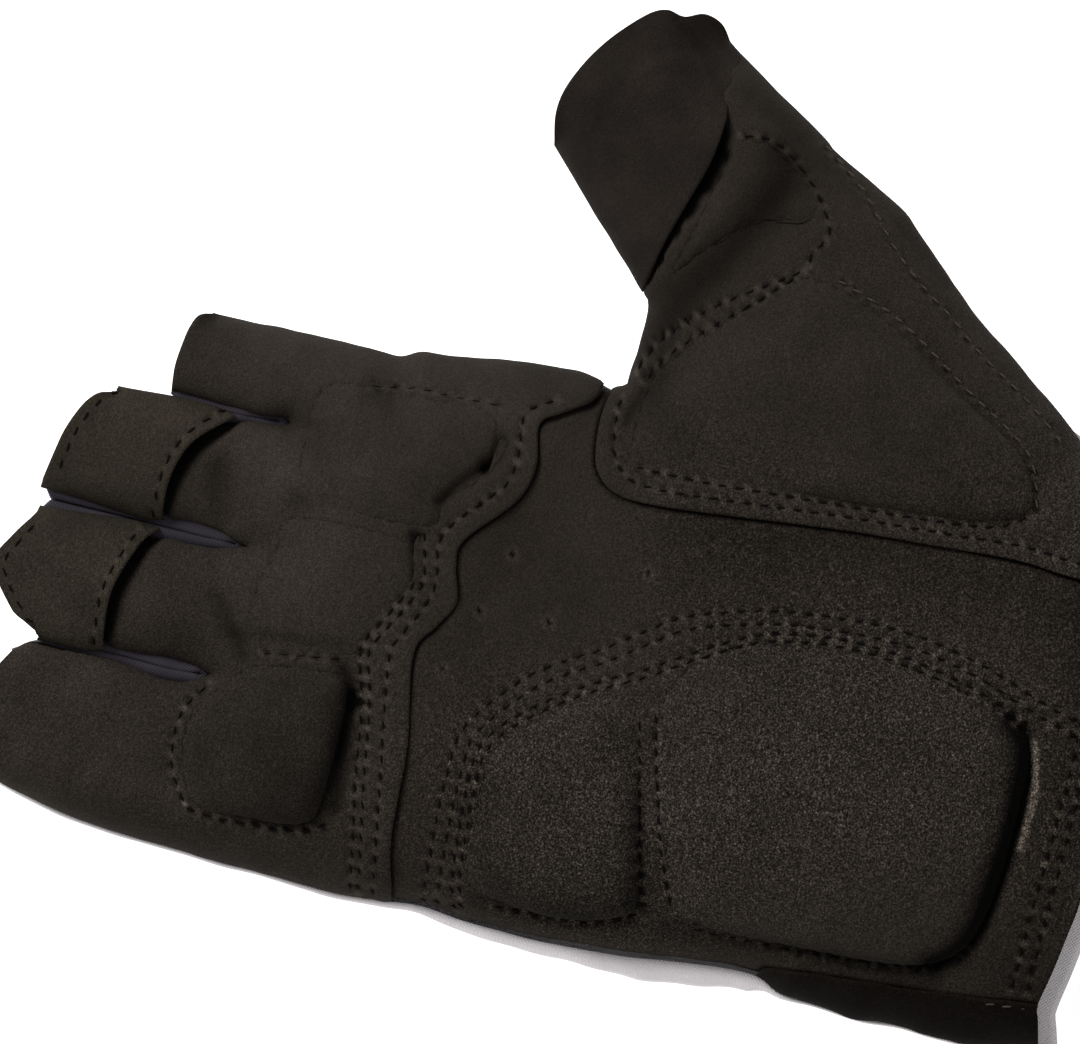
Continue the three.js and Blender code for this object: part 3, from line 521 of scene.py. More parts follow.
def seat_pads(plan, names):
    """The valley beside each pad, and the room under it."""
    lift, tone = np.zeros(len(plan)), np.zeros(len(plan))
    for name in names:
        loop = PADS[name]
        close = np.all((plan > loop.min(0) - 6) & (plan < loop.max(0) + 6), axis=1)
        at = plan[close]
        distance, _, _ = nearest(at, loop)
        under = inside(at, loop)
        valley = PAD_MAKE[name][4] * shaded(name, at)
        room, ditch = valley + 0.9 * zone(distance, 0, 1.6), valley * bell(distance, 1.3)
        lift[close] -= np.where(under, room, ditch)
        # Painted shade covers the panel under each pad and fills the valley on the pad's side away from the
        # lamp.
        tone[close] -= 0.6 * under * zone(distance, 0, 1) + 0.9 * valley * bell(distance, 1.1)
    return lift, tone


def with_pads(surface, names):
    """A panel's surface with a valley beside each pad and room under it."""
    def form(plan):
        lift, tone = surface(plan)
        seat = seat_pads(plan, names)
        return lift + seat[0], tone + seat[1]
    return form


def folds(plan, table):
    """Soft folds: points of the line, half width, depth, and how much shade is painted in (below zero, a
    painted highlight).
    """
    lift, tone = np.zeros(len(plan)), np.zeros(len(plan))
    for points, width, deep, dark in table:
        soft = bell(nearest(plan, curve(points))[0], width)
        lift -= deep * soft
        tone -= dark * soft
    return lift, tone


def cloth_surface(plan, waves, rows=(), row_depth=0.0, fold_table=(), tones=()):
    """Uneven cloth with rows, folds and lighter spots. waves: two of height and one of tone."""
    high, fine, cloud = (strength * ripples(plan, size, seed) for strength, size, seed in waves)
    lift, tone = high + fine, cloud
    for part in (press_rows(plan, rows, row_depth), folds(plan, fold_table)):
        lift += part[0]
        tone += part[1]
    for x, y, wide, light in tones:
        tone += light * spot_of(plan, x, y, wide)
    return lift, tone


def make_panel(name, node, form, size, borders, crowded):
    """Lay a patch of a size in mm between its bottom, top, left and right, lift and finish it."""
    bm = bmesh.new()
    lay_patch(bm, [max(8, round(side / cell)) for side in size], *borders, crowded)
    return finish_piece(bm, name, lifted(bm, form), nodes=[node])


print("helpers for lifting are ready")

# %% [markdown]
# ## The palm panel
#
# The middle of the palm is one piece of suede. Its border runs under the finger panel and the
# thumb panel, which lap over it by 7 mm, and meets the black strip beside the cuff. A dark line
# in the tone follows each lapping edge, as the shadow under it does.

# %% Palm panel
UNDER_THUMB = curve([
    (35.0, -77.2), (35.8, -62.0), (35.0, -35.0), (33.6, -15.0), (34.4, -5.0), (38.5, 1.0), (42.6, 3.2),
    (44.0, 5.0), (43.4, 7.6), (44.4, 12.4)])
under_fingers = FINGER_SEAM + np.array([0, lap_width])
under_fingers = under_fingers[(under_fingers[:, 0] > -44.9) & (under_fingers[:, 0] < 40.5)]
palm_left = np.vstack([STRIP_SEAM[:-1], part_of(OUTER_EDGE, -33.2, 31.4)])
palm_top = np.vstack([palm_left[-1:], under_fingers, UNDER_THUMB[-1:]])
palm_bottom = WRIST_EDGE[(WRIST_EDGE[:, 0] > -39.6) & (WRIST_EDGE[:, 0] < 34.8)]
palm_bottom = np.vstack([STRIP_SEAM[:1], palm_bottom, UNDER_THUMB[:1]])
# The darker column paints shade into each fold and beside the heel pads; a value below zero paints a
# highlight along a raised crease.
PALM_FOLDS = [  # points, half width, depth, darker
    ([(3.5, -66.5), (0.0, -69.0), (-10.4, -69.6), (-21.8, -68.4), (-30.5, -66.6), (-36.0, -62.2)],
     2.6, 0.2, 0.72),
    ([(-38.6, -62), (-39.2, -50), (-39.8, -38.6), (-40.2, -26), (-40.0, -20)], 2.1, 0.2, 0.34),
    ([(-24, 13.6), (-33, 12.4), (-38.6, 7), (-39.2, -4), (-36.5, -12)], 3.2, 0.0, 0.28),
    ([(1.6, -70.6), (-4.5, -72.0), (-9.6, -72.2), (-15.5, -71.8)], 0.45, -0.4, -4.0),
    ([(-15.5, -72.0), (-24, -71.0), (-33, -69)], 1.2, -0.3, -0.2),
    ([(22, -8), (23.5, -30), (24, -60)], 3.5, 0.5, 0.05),
    ([(18, 16), (8, 19), (-2, 20)], 3.0, 0.5, 0.05),
    ([(-41.8, 12), (-42.4, 0), (-40.4, -12)], 1.4, 0.2, 0.25),
    ([(-36, -77), (-5, -78.5), (28, -76)], 5.5, 0.1, 0.4)]
PALM_TONES = [(20, -24, 16, -0.26), (22, -62, 14, -0.15)]  # centre, radius, how much lighter
PRICKS = [(15.2, -4.5), (4.2, 9.4), (13.6, 17.1), (3.8, 20.3), (-6.8, 24.3)]


def palm_surface(plan):
    lift, tone = cloth_surface(plan, ((0.22, 11, 4), (0.07, 3.4, 5), (0.06, 9, 3)),
                               PALM_ROWS, 0.38, PALM_FOLDS, PALM_TONES)
    # A thin painted shadow lies under each lapping edge.
    for seam in (FINGER_SEAM, THUMB_SEAM, STRIP_SEAM):
        tone -= 0.9 * np.exp(-(nearest(plan, seam)[0] / 0.55) ** 4)
    # Each prick is a dimple with painted shade in it and a lighter ring round it.
    for x, y in PRICKS:
        distance = np.hypot(plan[:, 0] - x, plan[:, 1] - y)
        lift -= 0.25 * bell(distance, 0.7)
        tone += 0.7 * bell(distance - 0.8, 0.4) - 1.3 * bell(distance, 0.5)
    return palm_level + lift, tone


palm_form = with_pads(palm_surface, ["pad_heel_large", "pad_heel_small"])
palm = make_panel("palm_suede_panel", "palm_panel", palm_form, (84, 112),
                  (palm_bottom, palm_top, palm_left, UNDER_THUMB),
                  lambda v: (1 + 0.6 * zone(v, 0.42, 0.5), 1.0, 1.0))

# %% [markdown]
# ## The finger panel
#
# One piece of suede covers the four finger palms. It is laid as four strips, one for each
# finger, that are sewn together below the crotches by merging their doubles. Its lower
# edge laps over the palm panel, so its rim is rounded over a little.

# %% Finger panel
lap_edge = FINGER_SEAM[(FINGER_SEAM[:, 0] > -45) & (FINGER_SEAM[:, 0] < 43)]
lap_edge = np.vstack([[(-45.25, 24.6)], lap_edge, [(43.1, 8.45)]])
lap_shares = (0.0, 0.335, 0.53, 0.745, 1.0)
crotch_left = part_of(OUTER_EDGE, 24.6, CROTCHES[0][1])
crotch_right = part_of(INDEX_EDGE, 8.45, CROTCHES[2][1])
# The last number of each fold paints shade into it.
FINGER_FOLDS = [
    ([(17.2, 65.4), (13.5, 64.6), (9.7, 63.6)], 2.0, 0.8, 0.3),
    ([(14.5, 52.2), (14.0, 51.8)], 2.0, 0.8, 0.35),
    ([(34.2, 43.8), (34.0, 42.2)], 2.6, 0.6, 0.3),
    ([(-8.5, 59.4), (-7.2, 50), (-6.3, 40.9)], 1.2, 0.5, 0.2),
    ([(31.0, 22.4), (28.6, 22.9), (26.4, 24.3)], 1.0, 1.2, 0.75),
    ([(26.4, 24.3), (23, 27.6), (19.4, 30.3)], 0.9, 0.8, 0.5),
    ([(13.2, 33.2), (10, 31.9), (6.9, 31.1)], 0.85, 1.0, 0.75),
    ([(-14, 37.2), (-24, 36.8), (-32, 36.4)], 1.4, 1.0, 0.5),
    ([(-15, 37), (-12, 38), (-9.4, 40)], 1.1, 0.8, 0.45),
    ([(28, 57), (25, 53.5), (22, 50)], 2.2, 0.5, 0.15),
    ([(-3.1, 61.5), (-7, 59), (-11.1, 56.2)], 1.3, 0.7, 0.4),
    ([(34, 60), (36, 63), (38, 66)], 3.0, 0.5, 0.1),
    ([(-30, 76), (-27, 80), (-24, 84)], 5.0, 0.7, 0.05),
    ([(25.8, 80), (25.6, 70), (26.6, 57), (27.5, 51)], 1.0, 0.2, 0.15)]
FINGER_TONES = [  # centre, radius, how much lighter
    (34, 60, 16, 0.18), (17, 62, 14, 0.2), (16, 84, 9, 0.3), (-5, 86, 9, 0.2), (-28, 80, 16, 0.12),
    (0, 66, 8, 0.1), (-26, 49, 20, -0.2), (17, 68, 6, -0.15)]


def mouth_bow(mouth, along):
    """How far a pull tab stands open along its mouth, from 0 at its ends to 1."""
    length = np.linalg.norm(np.diff(mouth, axis=0), axis=1).sum()
    return np.sin(math.pi * np.clip(along / length, 0, 1)) ** 0.7


def finger_surface(plan):
    lift, tone = cloth_surface(plan, ((0.25, 9, 11), (0.08, 3.1, 12), (0.06, 8, 13)),
                               FINGER_ROWS, 0.36, FINGER_FOLDS, FINGER_TONES)
    lift -= 0.15 * bell(nearest(plan, FINGER_SEAM)[0], 0.4)
    for _, mouth in TAB_MOUTHS.values():
        close = (plan[:, 0] > mouth[0][0] - 1) & (plan[:, 0] < mouth[-1][0] + 1) & (plan[:, 1] > 55)
        distance, along, side = nearest(plan, mouth)
        bow = mouth_bow(mouth, along)
        gap = np.where(side > 0, bell(distance, 9), bell(distance, 1.2)) * close
        lift -= 1.5 * gap * (0.4 + 0.6 * bow)
        # Painted shade under the tab, and a painted shadow crescent along its open mouth.
        tone -= 0.97 * np.where(side > 0, 1, np.exp(-(distance / (0.3 + 2.0 * bow)) ** 6)) * close
    return lift, tone


def lay_finger_end(bm, i, columns, cell_size, across, crowded):
    """One finger from its crotches to its tip."""
    sides, end = FINGER_SIDES[FINGERS[i]], curve(FINGER_ENDS[FINGERS[i]])
    left = part_of(OUTER_EDGE, CROTCHES[0][1], 92.1) if i == 0 else curve(sides[0])
    right = part_of(INDEX_EDGE, CROTCHES[2][1], 71.0) if i == 3 else curve(sides[1])
    lay_patch(bm, (columns, round(FINGER_LENGTHS[i] / cell_size)), across, end, left, right, crowded)


bm = bmesh.new()
for i, width in enumerate((30, 22, 22, 18)):
    low = walk(lap_edge, np.linspace(lap_shares[i], lap_shares[i + 1], 60))
    left = crotch_left if i == 0 else np.array([low[0], CROTCHES[i - 1]])
    right = crotch_right if i == 3 else np.array([low[-1], CROTCHES[i]])
    across = np.array([left[-1], right[-1]])
    starts = (1.6 if i == 0 else 1.0, 1.6 if i == 3 else 1.0)
    lay_patch(bm, (round(width / cell), round(38 / cell)), low, across, left, right,
              lambda v: (*(mix(start, 1.6, zone(v, 0.6, 1)) for start in starts), 1.0))
    lay_finger_end(bm, i, round(width / cell), cell, across, (1.6, 1.6, 1.0))
bmesh.ops.remove_doubles(bm, verts=bm.verts, dist=0.02)
finger_form = with_pads(finger_surface, ["pad_knuckle_little", "pad_knuckle_ring", "pad_knuckle_index"])
finger_piece = finish_piece(bm, "finger_suede_panel", lifted(bm, finger_form), nodes=["finger_panel"])

# %% [markdown]
# ## The thumb
#
# The ball of the thumb is covered by its own panel. Past a cut line a band of suede covers the
# thumb's end. The panel's edge dives under that band, which leaves a ragged gap painted dark as its shadow.

# %% Thumb panel
seam = THUMB_SEAM[(THUMB_SEAM[:, 0] < 43.3) & (THUMB_SEAM[:, 1] > -79)][::-1]
seam = np.vstack([[(28.3, -80.2)], seam, part_of(INDEX_EDGE, 5.05, 7.1)[::-1]])
seam_corner = int(np.argmin(np.hypot(seam[:, 0] - 28.0, seam[:, 1] - 5.2)))
thumb_left = seam[:seam_corner + 1]
thumb_bottom = np.vstack([seam[:1], WRIST_EDGE[WRIST_EDGE[:, 0] > 30]])
thumb_right = part_of(THUMB_OUTER_EDGE, -68.5, -0.9)
thumb_top = np.vstack([
    seam[seam_corner:], THUMB_WEB_EDGE[(THUMB_WEB_EDGE[:, 0] > 43.99) & (THUMB_WEB_EDGE[:, 0] < 58.9)],
    [(59.2, 5.6), (61.5, 6.3), (65.0, 6.6), (70.0, 5.6), (76.0, 3.7), (83.0, 1.8), (88.6, 1.1),
     (94.0, 1.0), (98.0, 0.2)], thumb_right[-1:]])
# The last number of each fold paints shade into it; below zero it paints a highlight on a ridge.
THUMB_FOLDS = [
    ([(70, -24), (61, -38), (52, -52)], 2.0, 0.4, 0.06),
    ([(46, 0), (41, 2.5), (36, 4)], 1.6, 0.4, 0.15),
    ([(88, -20), (79, -31), (70, -42)], 1.2, 0.35, 0.12),
    ([(34, 4.5), (31, 1), (30, -3)], 1.5, 0.4, 0.1),
    ([(92, -6), (90, -10), (88, -14)], 2.5, 0.6, 0.1),
    ([(47, 3.0), (44, 2.6), (38, 4.0)], 0.6, 0.3, 0.3),
    ([(50.9, 1.9), (59.5, -1.3), (67.4, -6.4), (76.4, -10.6), (82.8, -13.0), (84.9, -11.2)],
     3.5, 0.5, 0.62),
    ([(44.0, 1.0), (40.5, -1.5), (37.5, -5.0)], 4.5, 0.0, 0.3),
    ([(56, -4), (51, -0.5), (47.5, 3.2)], 1.2, -0.3, -0.15),
    ([(80, -25.5), (86, -18), (92, -8.5)], 1.5, 0.3, 0.15)]
SLIT_WIDTHS = [(59, 0.8), (66, 1.1), (72, 2.4), (78, 3.6), (84, 3.4), (88, 2.2), (91, 0.3)]  # x, width


def thumb_surface(plan):
    lift, tone = cloth_surface(plan, ((0.22, 10, 21), (0.07, 3.3, 22), (0.05, 9, 23)),
                               THUMB_ROWS, 0.34, THUMB_FOLDS)
    lift -= 0.15 * bell(nearest(plan, THUMB_SEAM)[0], 0.4)
    x = plan[:, 0]
    distance, _, side = nearest(plan, THUMB_CUT)
    past = np.where(side > 0, distance, -distance) + 0.45 * ripples(plan, 1.4, 24)
    open_part = zone(x, 58.5, 63) * (1 - zone(x, 86, 92))
    inland = zone(nearest(plan, THUMB_WEB_EDGE)[0], 0.1, 1.5) * zone(x, 56, 60)
    wide = np.interp(x, *zip(*SLIT_WIDTHS)) * open_part
    dive = 2.0 * open_part * zone(past, -wide - 0.15, 0.2)
    tuck = 0.75 * (1 - open_part) * zone(past, 0.1, 1.3)
    lift -= inland * (dive + tuck)
    # Painted shadow in the slit under the band's edge.
    tone -= 0.93 * open_part * zone(past, -wide * 0.85, -wide * 0.45)
    return lift, tone


thumb_form = with_pads(thumb_surface, ["pad_thenar", "pad_thumb_web"])
thumb = make_panel("thumb_suede_panel", "thumb_panel", thumb_form, (58, 98),
                   (thumb_bottom, thumb_top, thumb_left, thumb_right), (1.0, 1.6, 1.35))

# %% Band over the thumb's end
web_side = np.vstack([THUMB_CUT[:1], THUMB_WEB_EDGE[THUMB_WEB_EDGE[:, 0] > 59.1]])
tip_corner = int(np.argmin(np.hypot(THUMB_TIP[:, 0] - 102.7, THUMB_TIP[:, 1] - 13.7)))
outer_side = np.vstack([THUMB_CUT[-1:], part_of(THUMB_OUTER_EDGE, -2.0, 0.2), THUMB_TIP[1:tip_corner + 1]])
# The last number of each fold paints shade into it; below zero it paints a highlight on a ridge.
THUMB_END_FOLDS = [
    ([(76, 8), (80, 11), (84, 13)], 5, 0.6, 0.03), ([(97, 5), (95.5, 10), (92, 15)], 1.2, -0.25, -0.2),
    ([(92, 15), (88, 17), (84, 17.5)], 1.4, 0.25, 0.08),
    ([(92.2, -1.3), (98, 4.0), (102.6, 9.2)], 0.8, 0.35, 0.12)]


def thumb_end_form(plan):
    lift, tone = cloth_surface(plan, ((0.25, 9, 31), (0.06, 3.2, 32), (0.05, 8, 33)),
                               fold_table=THUMB_END_FOLDS)
    return lift - 0.1 * bell(nearest(plan, THUMB_CUT)[0], 0.5), tone


thumb_band = make_panel("thumb_end_band", "thumb_end", thumb_end_form, (44, 26),
                        (THUMB_CUT, THUMB_TIP[tip_corner:][::-1], web_side, outer_side), (1.6, 1.3, 1.0))

# %% [markdown]
# ## The strip beside the cuff
#
# A narrow black strip closes the side of the cuff. It is creased, because the cuff is tight
# there, and its outer edge is cut a little unevenly.

# %% Cuff strip
strip_left = part_of(OUTER_EDGE, -81.5, -34.8)
strip_right = np.vstack([STRIP_SEAM[:-1], [(-44.9, -34.9)]]) + np.array([0.5, 0])


def strip_form(plan):
    lift, tone = cloth_surface(plan, ((0.25, 5, 41), (0.1, 2.4, 42), (0.08, 5, 43)))
    edge, _, _ = nearest(plan, strip_right)
    return lift - 0.15 * bell(edge, 0.4), tone + 0.9 * bell(edge, 0.35)


strip_bottom = WRIST_EDGE[WRIST_EDGE[:, 0] < -39.9]
strip_top = np.array([strip_left[-1], strip_right[-1]])
strip = make_panel("cuff_side_suede", "cuff_side_strip", strip_form, (9, 48),
                   (strip_bottom, strip_top, strip_left, strip_right), (1.6, 1.0, 1.0))

# %% [markdown]
# ## The pads
#
# Each pad is suede over a thin slice of foam, sewn down all round. It starts as a square grid
# that is rounded into a disc and then stretched to the pad's outline, so its faces stay even.
# It lies on the panel's own surface, rises softly on the lamp's side and steeply in the shade,
# and its rim is pinched at every needle hole.

# %% Form of a foam pad
def pad_sheet(bm, loop, cells):
    """A square grid rounded into a disc and stretched to the outline."""
    grid = bmesh.ops.create_grid(bm, x_segments=cells, y_segments=cells, size=1)["verts"]
    square = np.array([v.co[:2] for v in grid])
    x = square[:, 0] * np.sqrt(1 - square[:, 1] ** 2 / 2)
    y = square[:, 1] * np.sqrt(1 - square[:, 0] ** 2 / 2)
    reach, angle = np.hypot(x, y), np.arctan2(y, x)
    reach = 1 - np.clip(1 - reach, 0, 1) ** 1.35
    centre = (loop.min(0) + loop.max(0)) / 2
    rim = loop[:-1] - centre
    rim_angle, rim_reach = np.arctan2(rim[:, 1], rim[:, 0]), np.hypot(rim[:, 0], rim[:, 1])
    far = np.interp(angle, rim_angle, rim_reach, period=2 * math.pi)
    plan = centre + (reach * far)[:, None] * np.column_stack([np.cos(angle), np.sin(angle)])
    for vert, (px, py) in zip(grid, plan):
        vert.co = (px, py, 0)
    return square


UNDER_PAD = {"pad_heel_large": palm_surface, "pad_heel_small": palm_surface,
             "pad_thenar": thumb_surface, "pad_thumb_web": thumb_surface}


def pad_form(name, plan):
    layer, crown, steep_width, soft_width, valley, dark = PAD_MAKE[name]
    deep_shade = 0.42 if valley > 0.4 else 0.0
    lift, tone = UNDER_PAD.get(name, finger_surface)(plan)
    distance, along, _ = nearest(plan, PADS[name])
    shade = shaded(name, plan)
    share = distance / mix(soft_width, steep_width, shade)
    rise = mix(zone(share, 0, 1), round_over(share), shade)
    rim = -0.06 - valley * shade
    lift += rim + (crown - rim) * rise
    puff = 0.5 + 0.5 * np.cos(2 * math.pi * along / stitch_pitch)
    lift -= 0.2 * (1 - puff) * bell(distance, 1.1)
    lift += rise * (0.12 * ripples(plan, 9, 50 + len(name)) + 0.05 * ripples(plan, 3.0, 51))
    # A pad's middle is darker by its darker amount; on pads with a deep valley, painted shade lies along the
    # rim on the side away from the lamp.
    tone -= dark * zone(distance, 0, 3) + deep_shade * shade * bell(distance, 2.2)
    return lift, tone


print("pads to make:", len(PAD_MAKE))

# %% [markdown]
# ## Blowing the pads up
#
# Foam pushes the suede out between its seams, most where the seams are far apart. A coarse copy
# of each pad is blown up as cloth with its rim held, for a few frames, and the fine pad then takes
# over how far the copy swelled. Extruding the fine sheet closes the pad below.

# %% Foam pads
swell_cells, swell_frames, swell_cap = 30, 16, 0.8
swell_scale = 0.01  # the copy is ten times larger than life, where the cloth settings hold
swell_pressure = 4.0


def swelling(name, fine):
    """How far the suede swells between its seams, at the fine sheet's places in the square."""
    bm = bmesh.new()
    square = pad_sheet(bm, PADS[name], swell_cells)
    lifted(bm, lambda at: pad_form(name, at))
    bmesh.ops.scale(bm, vec=Vector((swell_scale,) * 3), verts=bm.verts)
    bm.normal_update()
    normals = np.array([v.normal[:] for v in bm.verts])
    mesh = bpy.data.meshes.new("pad being blown up")
    bm.to_mesh(mesh)
    bm.free()
    trial = bpy.data.objects.new("pad being blown up", mesh)
    bpy.context.scene.collection.objects.link(trial)
    held = np.flatnonzero(np.abs(square).max(axis=1) > 0.99)
    trial.vertex_groups.new(name="seam").add([int(i) for i in held], 1.0, "REPLACE")
    cloth = trial.modifiers.new("blow up", "CLOTH").settings
    cloth.use_pressure = True
    cloth.uniform_pressure_force = swell_pressure
    cloth.effector_weights.gravity = 0
    cloth.vertex_group_mass = "seam"
    for frame_number in range(1, swell_frames + 1):
        bpy.context.scene.frame_set(frame_number)
    blown = trial.evaluated_get(bpy.context.evaluated_depsgraph_get()).data
    moved = np.array([v.co[:] for v in blown.vertices]) - np.array([v.co[:] for v in mesh.vertices])
    rise = swell_cap * np.tanh((moved * normals).sum(axis=1) / swell_scale / swell_cap)
    print(name, "swells by up to", round(float(rise.max()), 2), "mm")
    bpy.data.objects.remove(trial)
    bpy.data.meshes.remove(mesh)
    bpy.context.scene.frame_set(1)
    table = np.zeros((swell_cells + 1, swell_cells + 1))
    index = np.rint((square + 1) / 2 * swell_cells).astype(int)
    table[index[:, 0], index[:, 1]] = rise
    at = (fine + 1) / 2 * swell_cells
    low = np.clip(at.astype(int), 0, swell_cells - 1)
    (i, j), (u, v) = low.T, (at - low).T
    return mix(mix(table[i, j], table[i + 1, j], u), mix(table[i, j + 1], table[i + 1, j + 1], u), v)


pads = {}
for name, (layer, *_) in PAD_MAKE.items():
    bm = bmesh.new()
    square = pad_sheet(bm, PADS[name], max(16, round(np.ptp(PADS[name], axis=0).max() / cell)))
    rise = swelling(name, square)
    plan = plan_of(bm)
    tone = lifted(bm, lambda at: np.array(pad_form(name, at)) + [rise, 0 * rise])
    top = list(bm.verts)
    tone_at = {vert.co.copy().freeze(): dark for vert, dark in zip(bm.verts, tone)}
    # Extruding renumbers the points, so each one finds its tone again by its place.
    bmesh.ops.extrude_face_region(bm, geom=list(bm.faces), use_keep_orig=True)
    tone = np.array([tone_at[vert.co.copy().freeze()] for vert in bm.verts])
    for vert, z in zip(top, palm_side_height(plan)):
        vert.co.z = min(vert.co.z - 0.12, z + layer - 0.55)
    bmesh.ops.recalc_face_normals(bm, faces=bm.faces)
    pads[name] = finish_piece(bm, name.replace("pad_", "foam_pad_"), tone, wall=0, nodes=[name])

# %% [markdown]
# ## The pull tabs
#
# The ring and middle fingers end in a band that the other hand pulls to take the glove off. It
# lies on the fingertip and stands off the finger at its open mouth.

# %% Pull tabs
def mouth_row(mouth, inward=1.5):
    step = np.gradient(mouth, axis=0)
    step /= np.linalg.norm(step, axis=1)[:, None]
    return (mouth + inward * np.column_stack([-step[:, 1], step[:, 0]]))[2:-2]


def tab_form(mouth):
    row = mouth_row(mouth)

    def form(plan):
        distance, along, _ = nearest(plan, mouth)
        gape = 1.1 * (1 - zone(distance, 0, 15)) * mouth_bow(mouth, along)
        lift = 1.15 + gape + 0.15 * ripples(plan, 6, 61) - 0.2 * bell(distance, 0.5)
        pressed = press_rows(plan, [row], 0.16, 0.45)
        # The row brings its painted shade and highlights, and the tab is made lighter just inside its mouth's
        # edge.
        tone = 0.05 * ripples(plan, 6, 62) + 0.3 * bell(distance - 0.3, 0.3)
        return lift + pressed[0], tone + 0.7 * pressed[1]
    return form


tabs = {}
for name, (finger, mouth) in TAB_MOUTHS.items():
    left, right = [np.vstack([corner, line[line[:, 1] > corner[0][1] + 1]]) for corner, line
                   in zip((mouth[:1], mouth[-1:]), map(curve, FINGER_SIDES[finger]))]
    tabs[name] = make_panel(name.replace("pull_tab", "pull_band"), name, tab_form(mouth),
                            (24, 18), (mouth, curve(FINGER_ENDS[finger]), left, right), (1.5, 1.5, 1.0))

# %% [markdown]
# ## The gussets between the fingers
#
# A strip of navy stretch knit joins the palm side to the back between two fingers. It runs down
# one finger, round the crotch and up the next, and bulges out into the gap.

# %% Gussets
def notch_line(i):
    """Down one finger and up the next, with the crotch's corner cut off twice."""
    line = np.array(FINGER_SIDES[FINGERS[i]][1][::-1] + FINGER_SIDES[FINGERS[i + 1]][0][1:])
    for _ in range(2):
        a, b = line[:-1], line[1:]
        cut = np.column_stack([a * 0.75 + b * 0.25, a * 0.25 + b * 0.75]).reshape(-1, 2)
        line = np.vstack([line[:1], cut, line[-1:]])
    return line


gusset_top = seam_height + gusset_height / 2 + notch_rise - 0.35
gusset_bottom = seam_height - gusset_height / 2 + 0.4
gussets = []
for i, name in enumerate(["gusset_ring_little", "gusset_middle_ring", "gusset_index_middle"]):
    line = notch_line(i)
    bm = bmesh.new()
    grid = bmesh.ops.create_grid(bm, x_segments=round(76 / cell / 1.3), y_segments=12, size=0.5)["verts"]
    along, down = (np.array([v.co[:2] for v in grid]) + 0.5).T
    spot = walk(line, along)
    ahead = walk(line, np.clip(along + 0.01, 0, 1)) - walk(line, np.clip(along - 0.01, 0, 1))
    ahead /= np.linalg.norm(ahead, axis=1)[:, None]
    outward = np.column_stack([-ahead[:, 1], ahead[:, 0]])
    sides = curve(FINGER_SIDES[FINGERS[i]][1]), curve(FINGER_SIDES[FINGERS[i + 1]][0])
    across = np.maximum(*(nearest(spot, side)[0] for side in sides))
    tip = min(side[-1][1] for side in sides)
    bulge = mix(across / 2 + 0.3, 0.3, zone(spot[:, 1], tip - 2, tip + 0.5))
    belly = np.sin(math.pi * down ** 0.75) ** 0.6
    tuck = 0.7 + 1.8 * bell(np.hypot(*(spot - CROTCHES[i]).T), 2.5)
    plan = spot + outward * ((bulge + tuck) * belly - tuck)[:, None]
    heights = mix(gusset_top, gusset_bottom, down) + 0.25 * ripples(spot, 4, 71 + i)
    heights += 2.6 * bell(down - 0.16, 0.14) * np.clip(bulge, 0, 1)
    for vert, (x, y), z in zip(grid, plan, heights):
        vert.co = (x, y, z)
    bmesh.ops.recalc_face_normals(bm, faces=bm.faces)
    gussets.append(finish_piece(bm, name.replace("gusset", "knit_gusset"), wall=0.6, nodes=[name]))

# %% [markdown]
# ## The back of the glove
#
# The back is one light stretch knit that lies flat on the table and turns up at its closed
# edges. On the little finger's side it stands out past the suede as a soft pale roll. It is
# laid flat as one mesh, with wider cells than the suede because most of it lies hidden.

# %% Back
BACK_SHOWS = [  # y, and how far the back stands out there as a share of the roll's width
    (-90, 0.12), (-44, 0.12), (-38, 0.3), (-34, 0.95), (-17, 1.0), (1, 0.62), (20, 0.4), (44, 0.16),
    (98, 0.2)]
roll_width = 3.4
back_cell = cell * 1.8
level = 5.0  # the height in plan of the thumb's root, where the lower patches end
wrist_shares = (0, 0.33, 0.55, 0.77, 1)
wrist_points = walk(WRIST_EDGE, wrist_shares)
spokes = [np.array([wrist_points[i], CROTCHES[i - 1]]) for i in (1, 2, 3)]
at_level = [np.array([np.interp(level, line[:, 1], line[:, 0]), level]) for line in spokes]
level_points = [part_of(OUTER_EDGE, -81.5, level)[-1], *at_level, np.array([44.0, level])]

bm = bmesh.new()
for i, width in enumerate((30, 22, 22, 20)):
    columns = round(width / back_cell)
    outer, upper = (1.5, 1.5) if i == 0 else (1.0, 1.4)  # how cells crowd to the left, low and high
    bottom = walk(WRIST_EDGE, np.linspace(wrist_shares[i], wrist_shares[i + 1], 40))
    across = np.array(level_points[i:i + 2])
    left = part_of(OUTER_EDGE, -81.5, level) if i == 0 else np.array([bottom[0], level_points[i]])
    right = THUMB_ROOT if i == 3 else np.array([bottom[-1], level_points[i + 1]])
    lay_patch(bm, (columns, round(88 / back_cell)), bottom, across, left, right, (outer, 1.0, 1.0))
    left = part_of(OUTER_EDGE, level, 60.5) if i == 0 else np.array([level_points[i], CROTCHES[i - 1]])
    right = part_of(INDEX_EDGE, level, 57.0) if i == 3 else np.array([level_points[i + 1], CROTCHES[i]])
    top = np.array([left[-1], right[-1]])
    lay_patch(bm, (columns, round(54 / back_cell)), across, top, left, right,
              lambda v: (mix(outer, upper, zone(v, 0.7, 1)), mix(1.0, 1.4, zone(v, 0.7, 1)), 1.0))
    lay_finger_end(bm, i, columns, back_cell, top, (upper, 1.4, 1.0))
lay_patch(bm, (round(62 / back_cell), round(88 / back_cell)), THUMB_OUTER_EDGE, THUMB_WEB_EDGE, THUMB_ROOT,
          THUMB_TIP)
bmesh.ops.remove_doubles(bm, verts=bm.verts, dist=0.05)
print("back laid flat:", len(bm.faces), "faces")

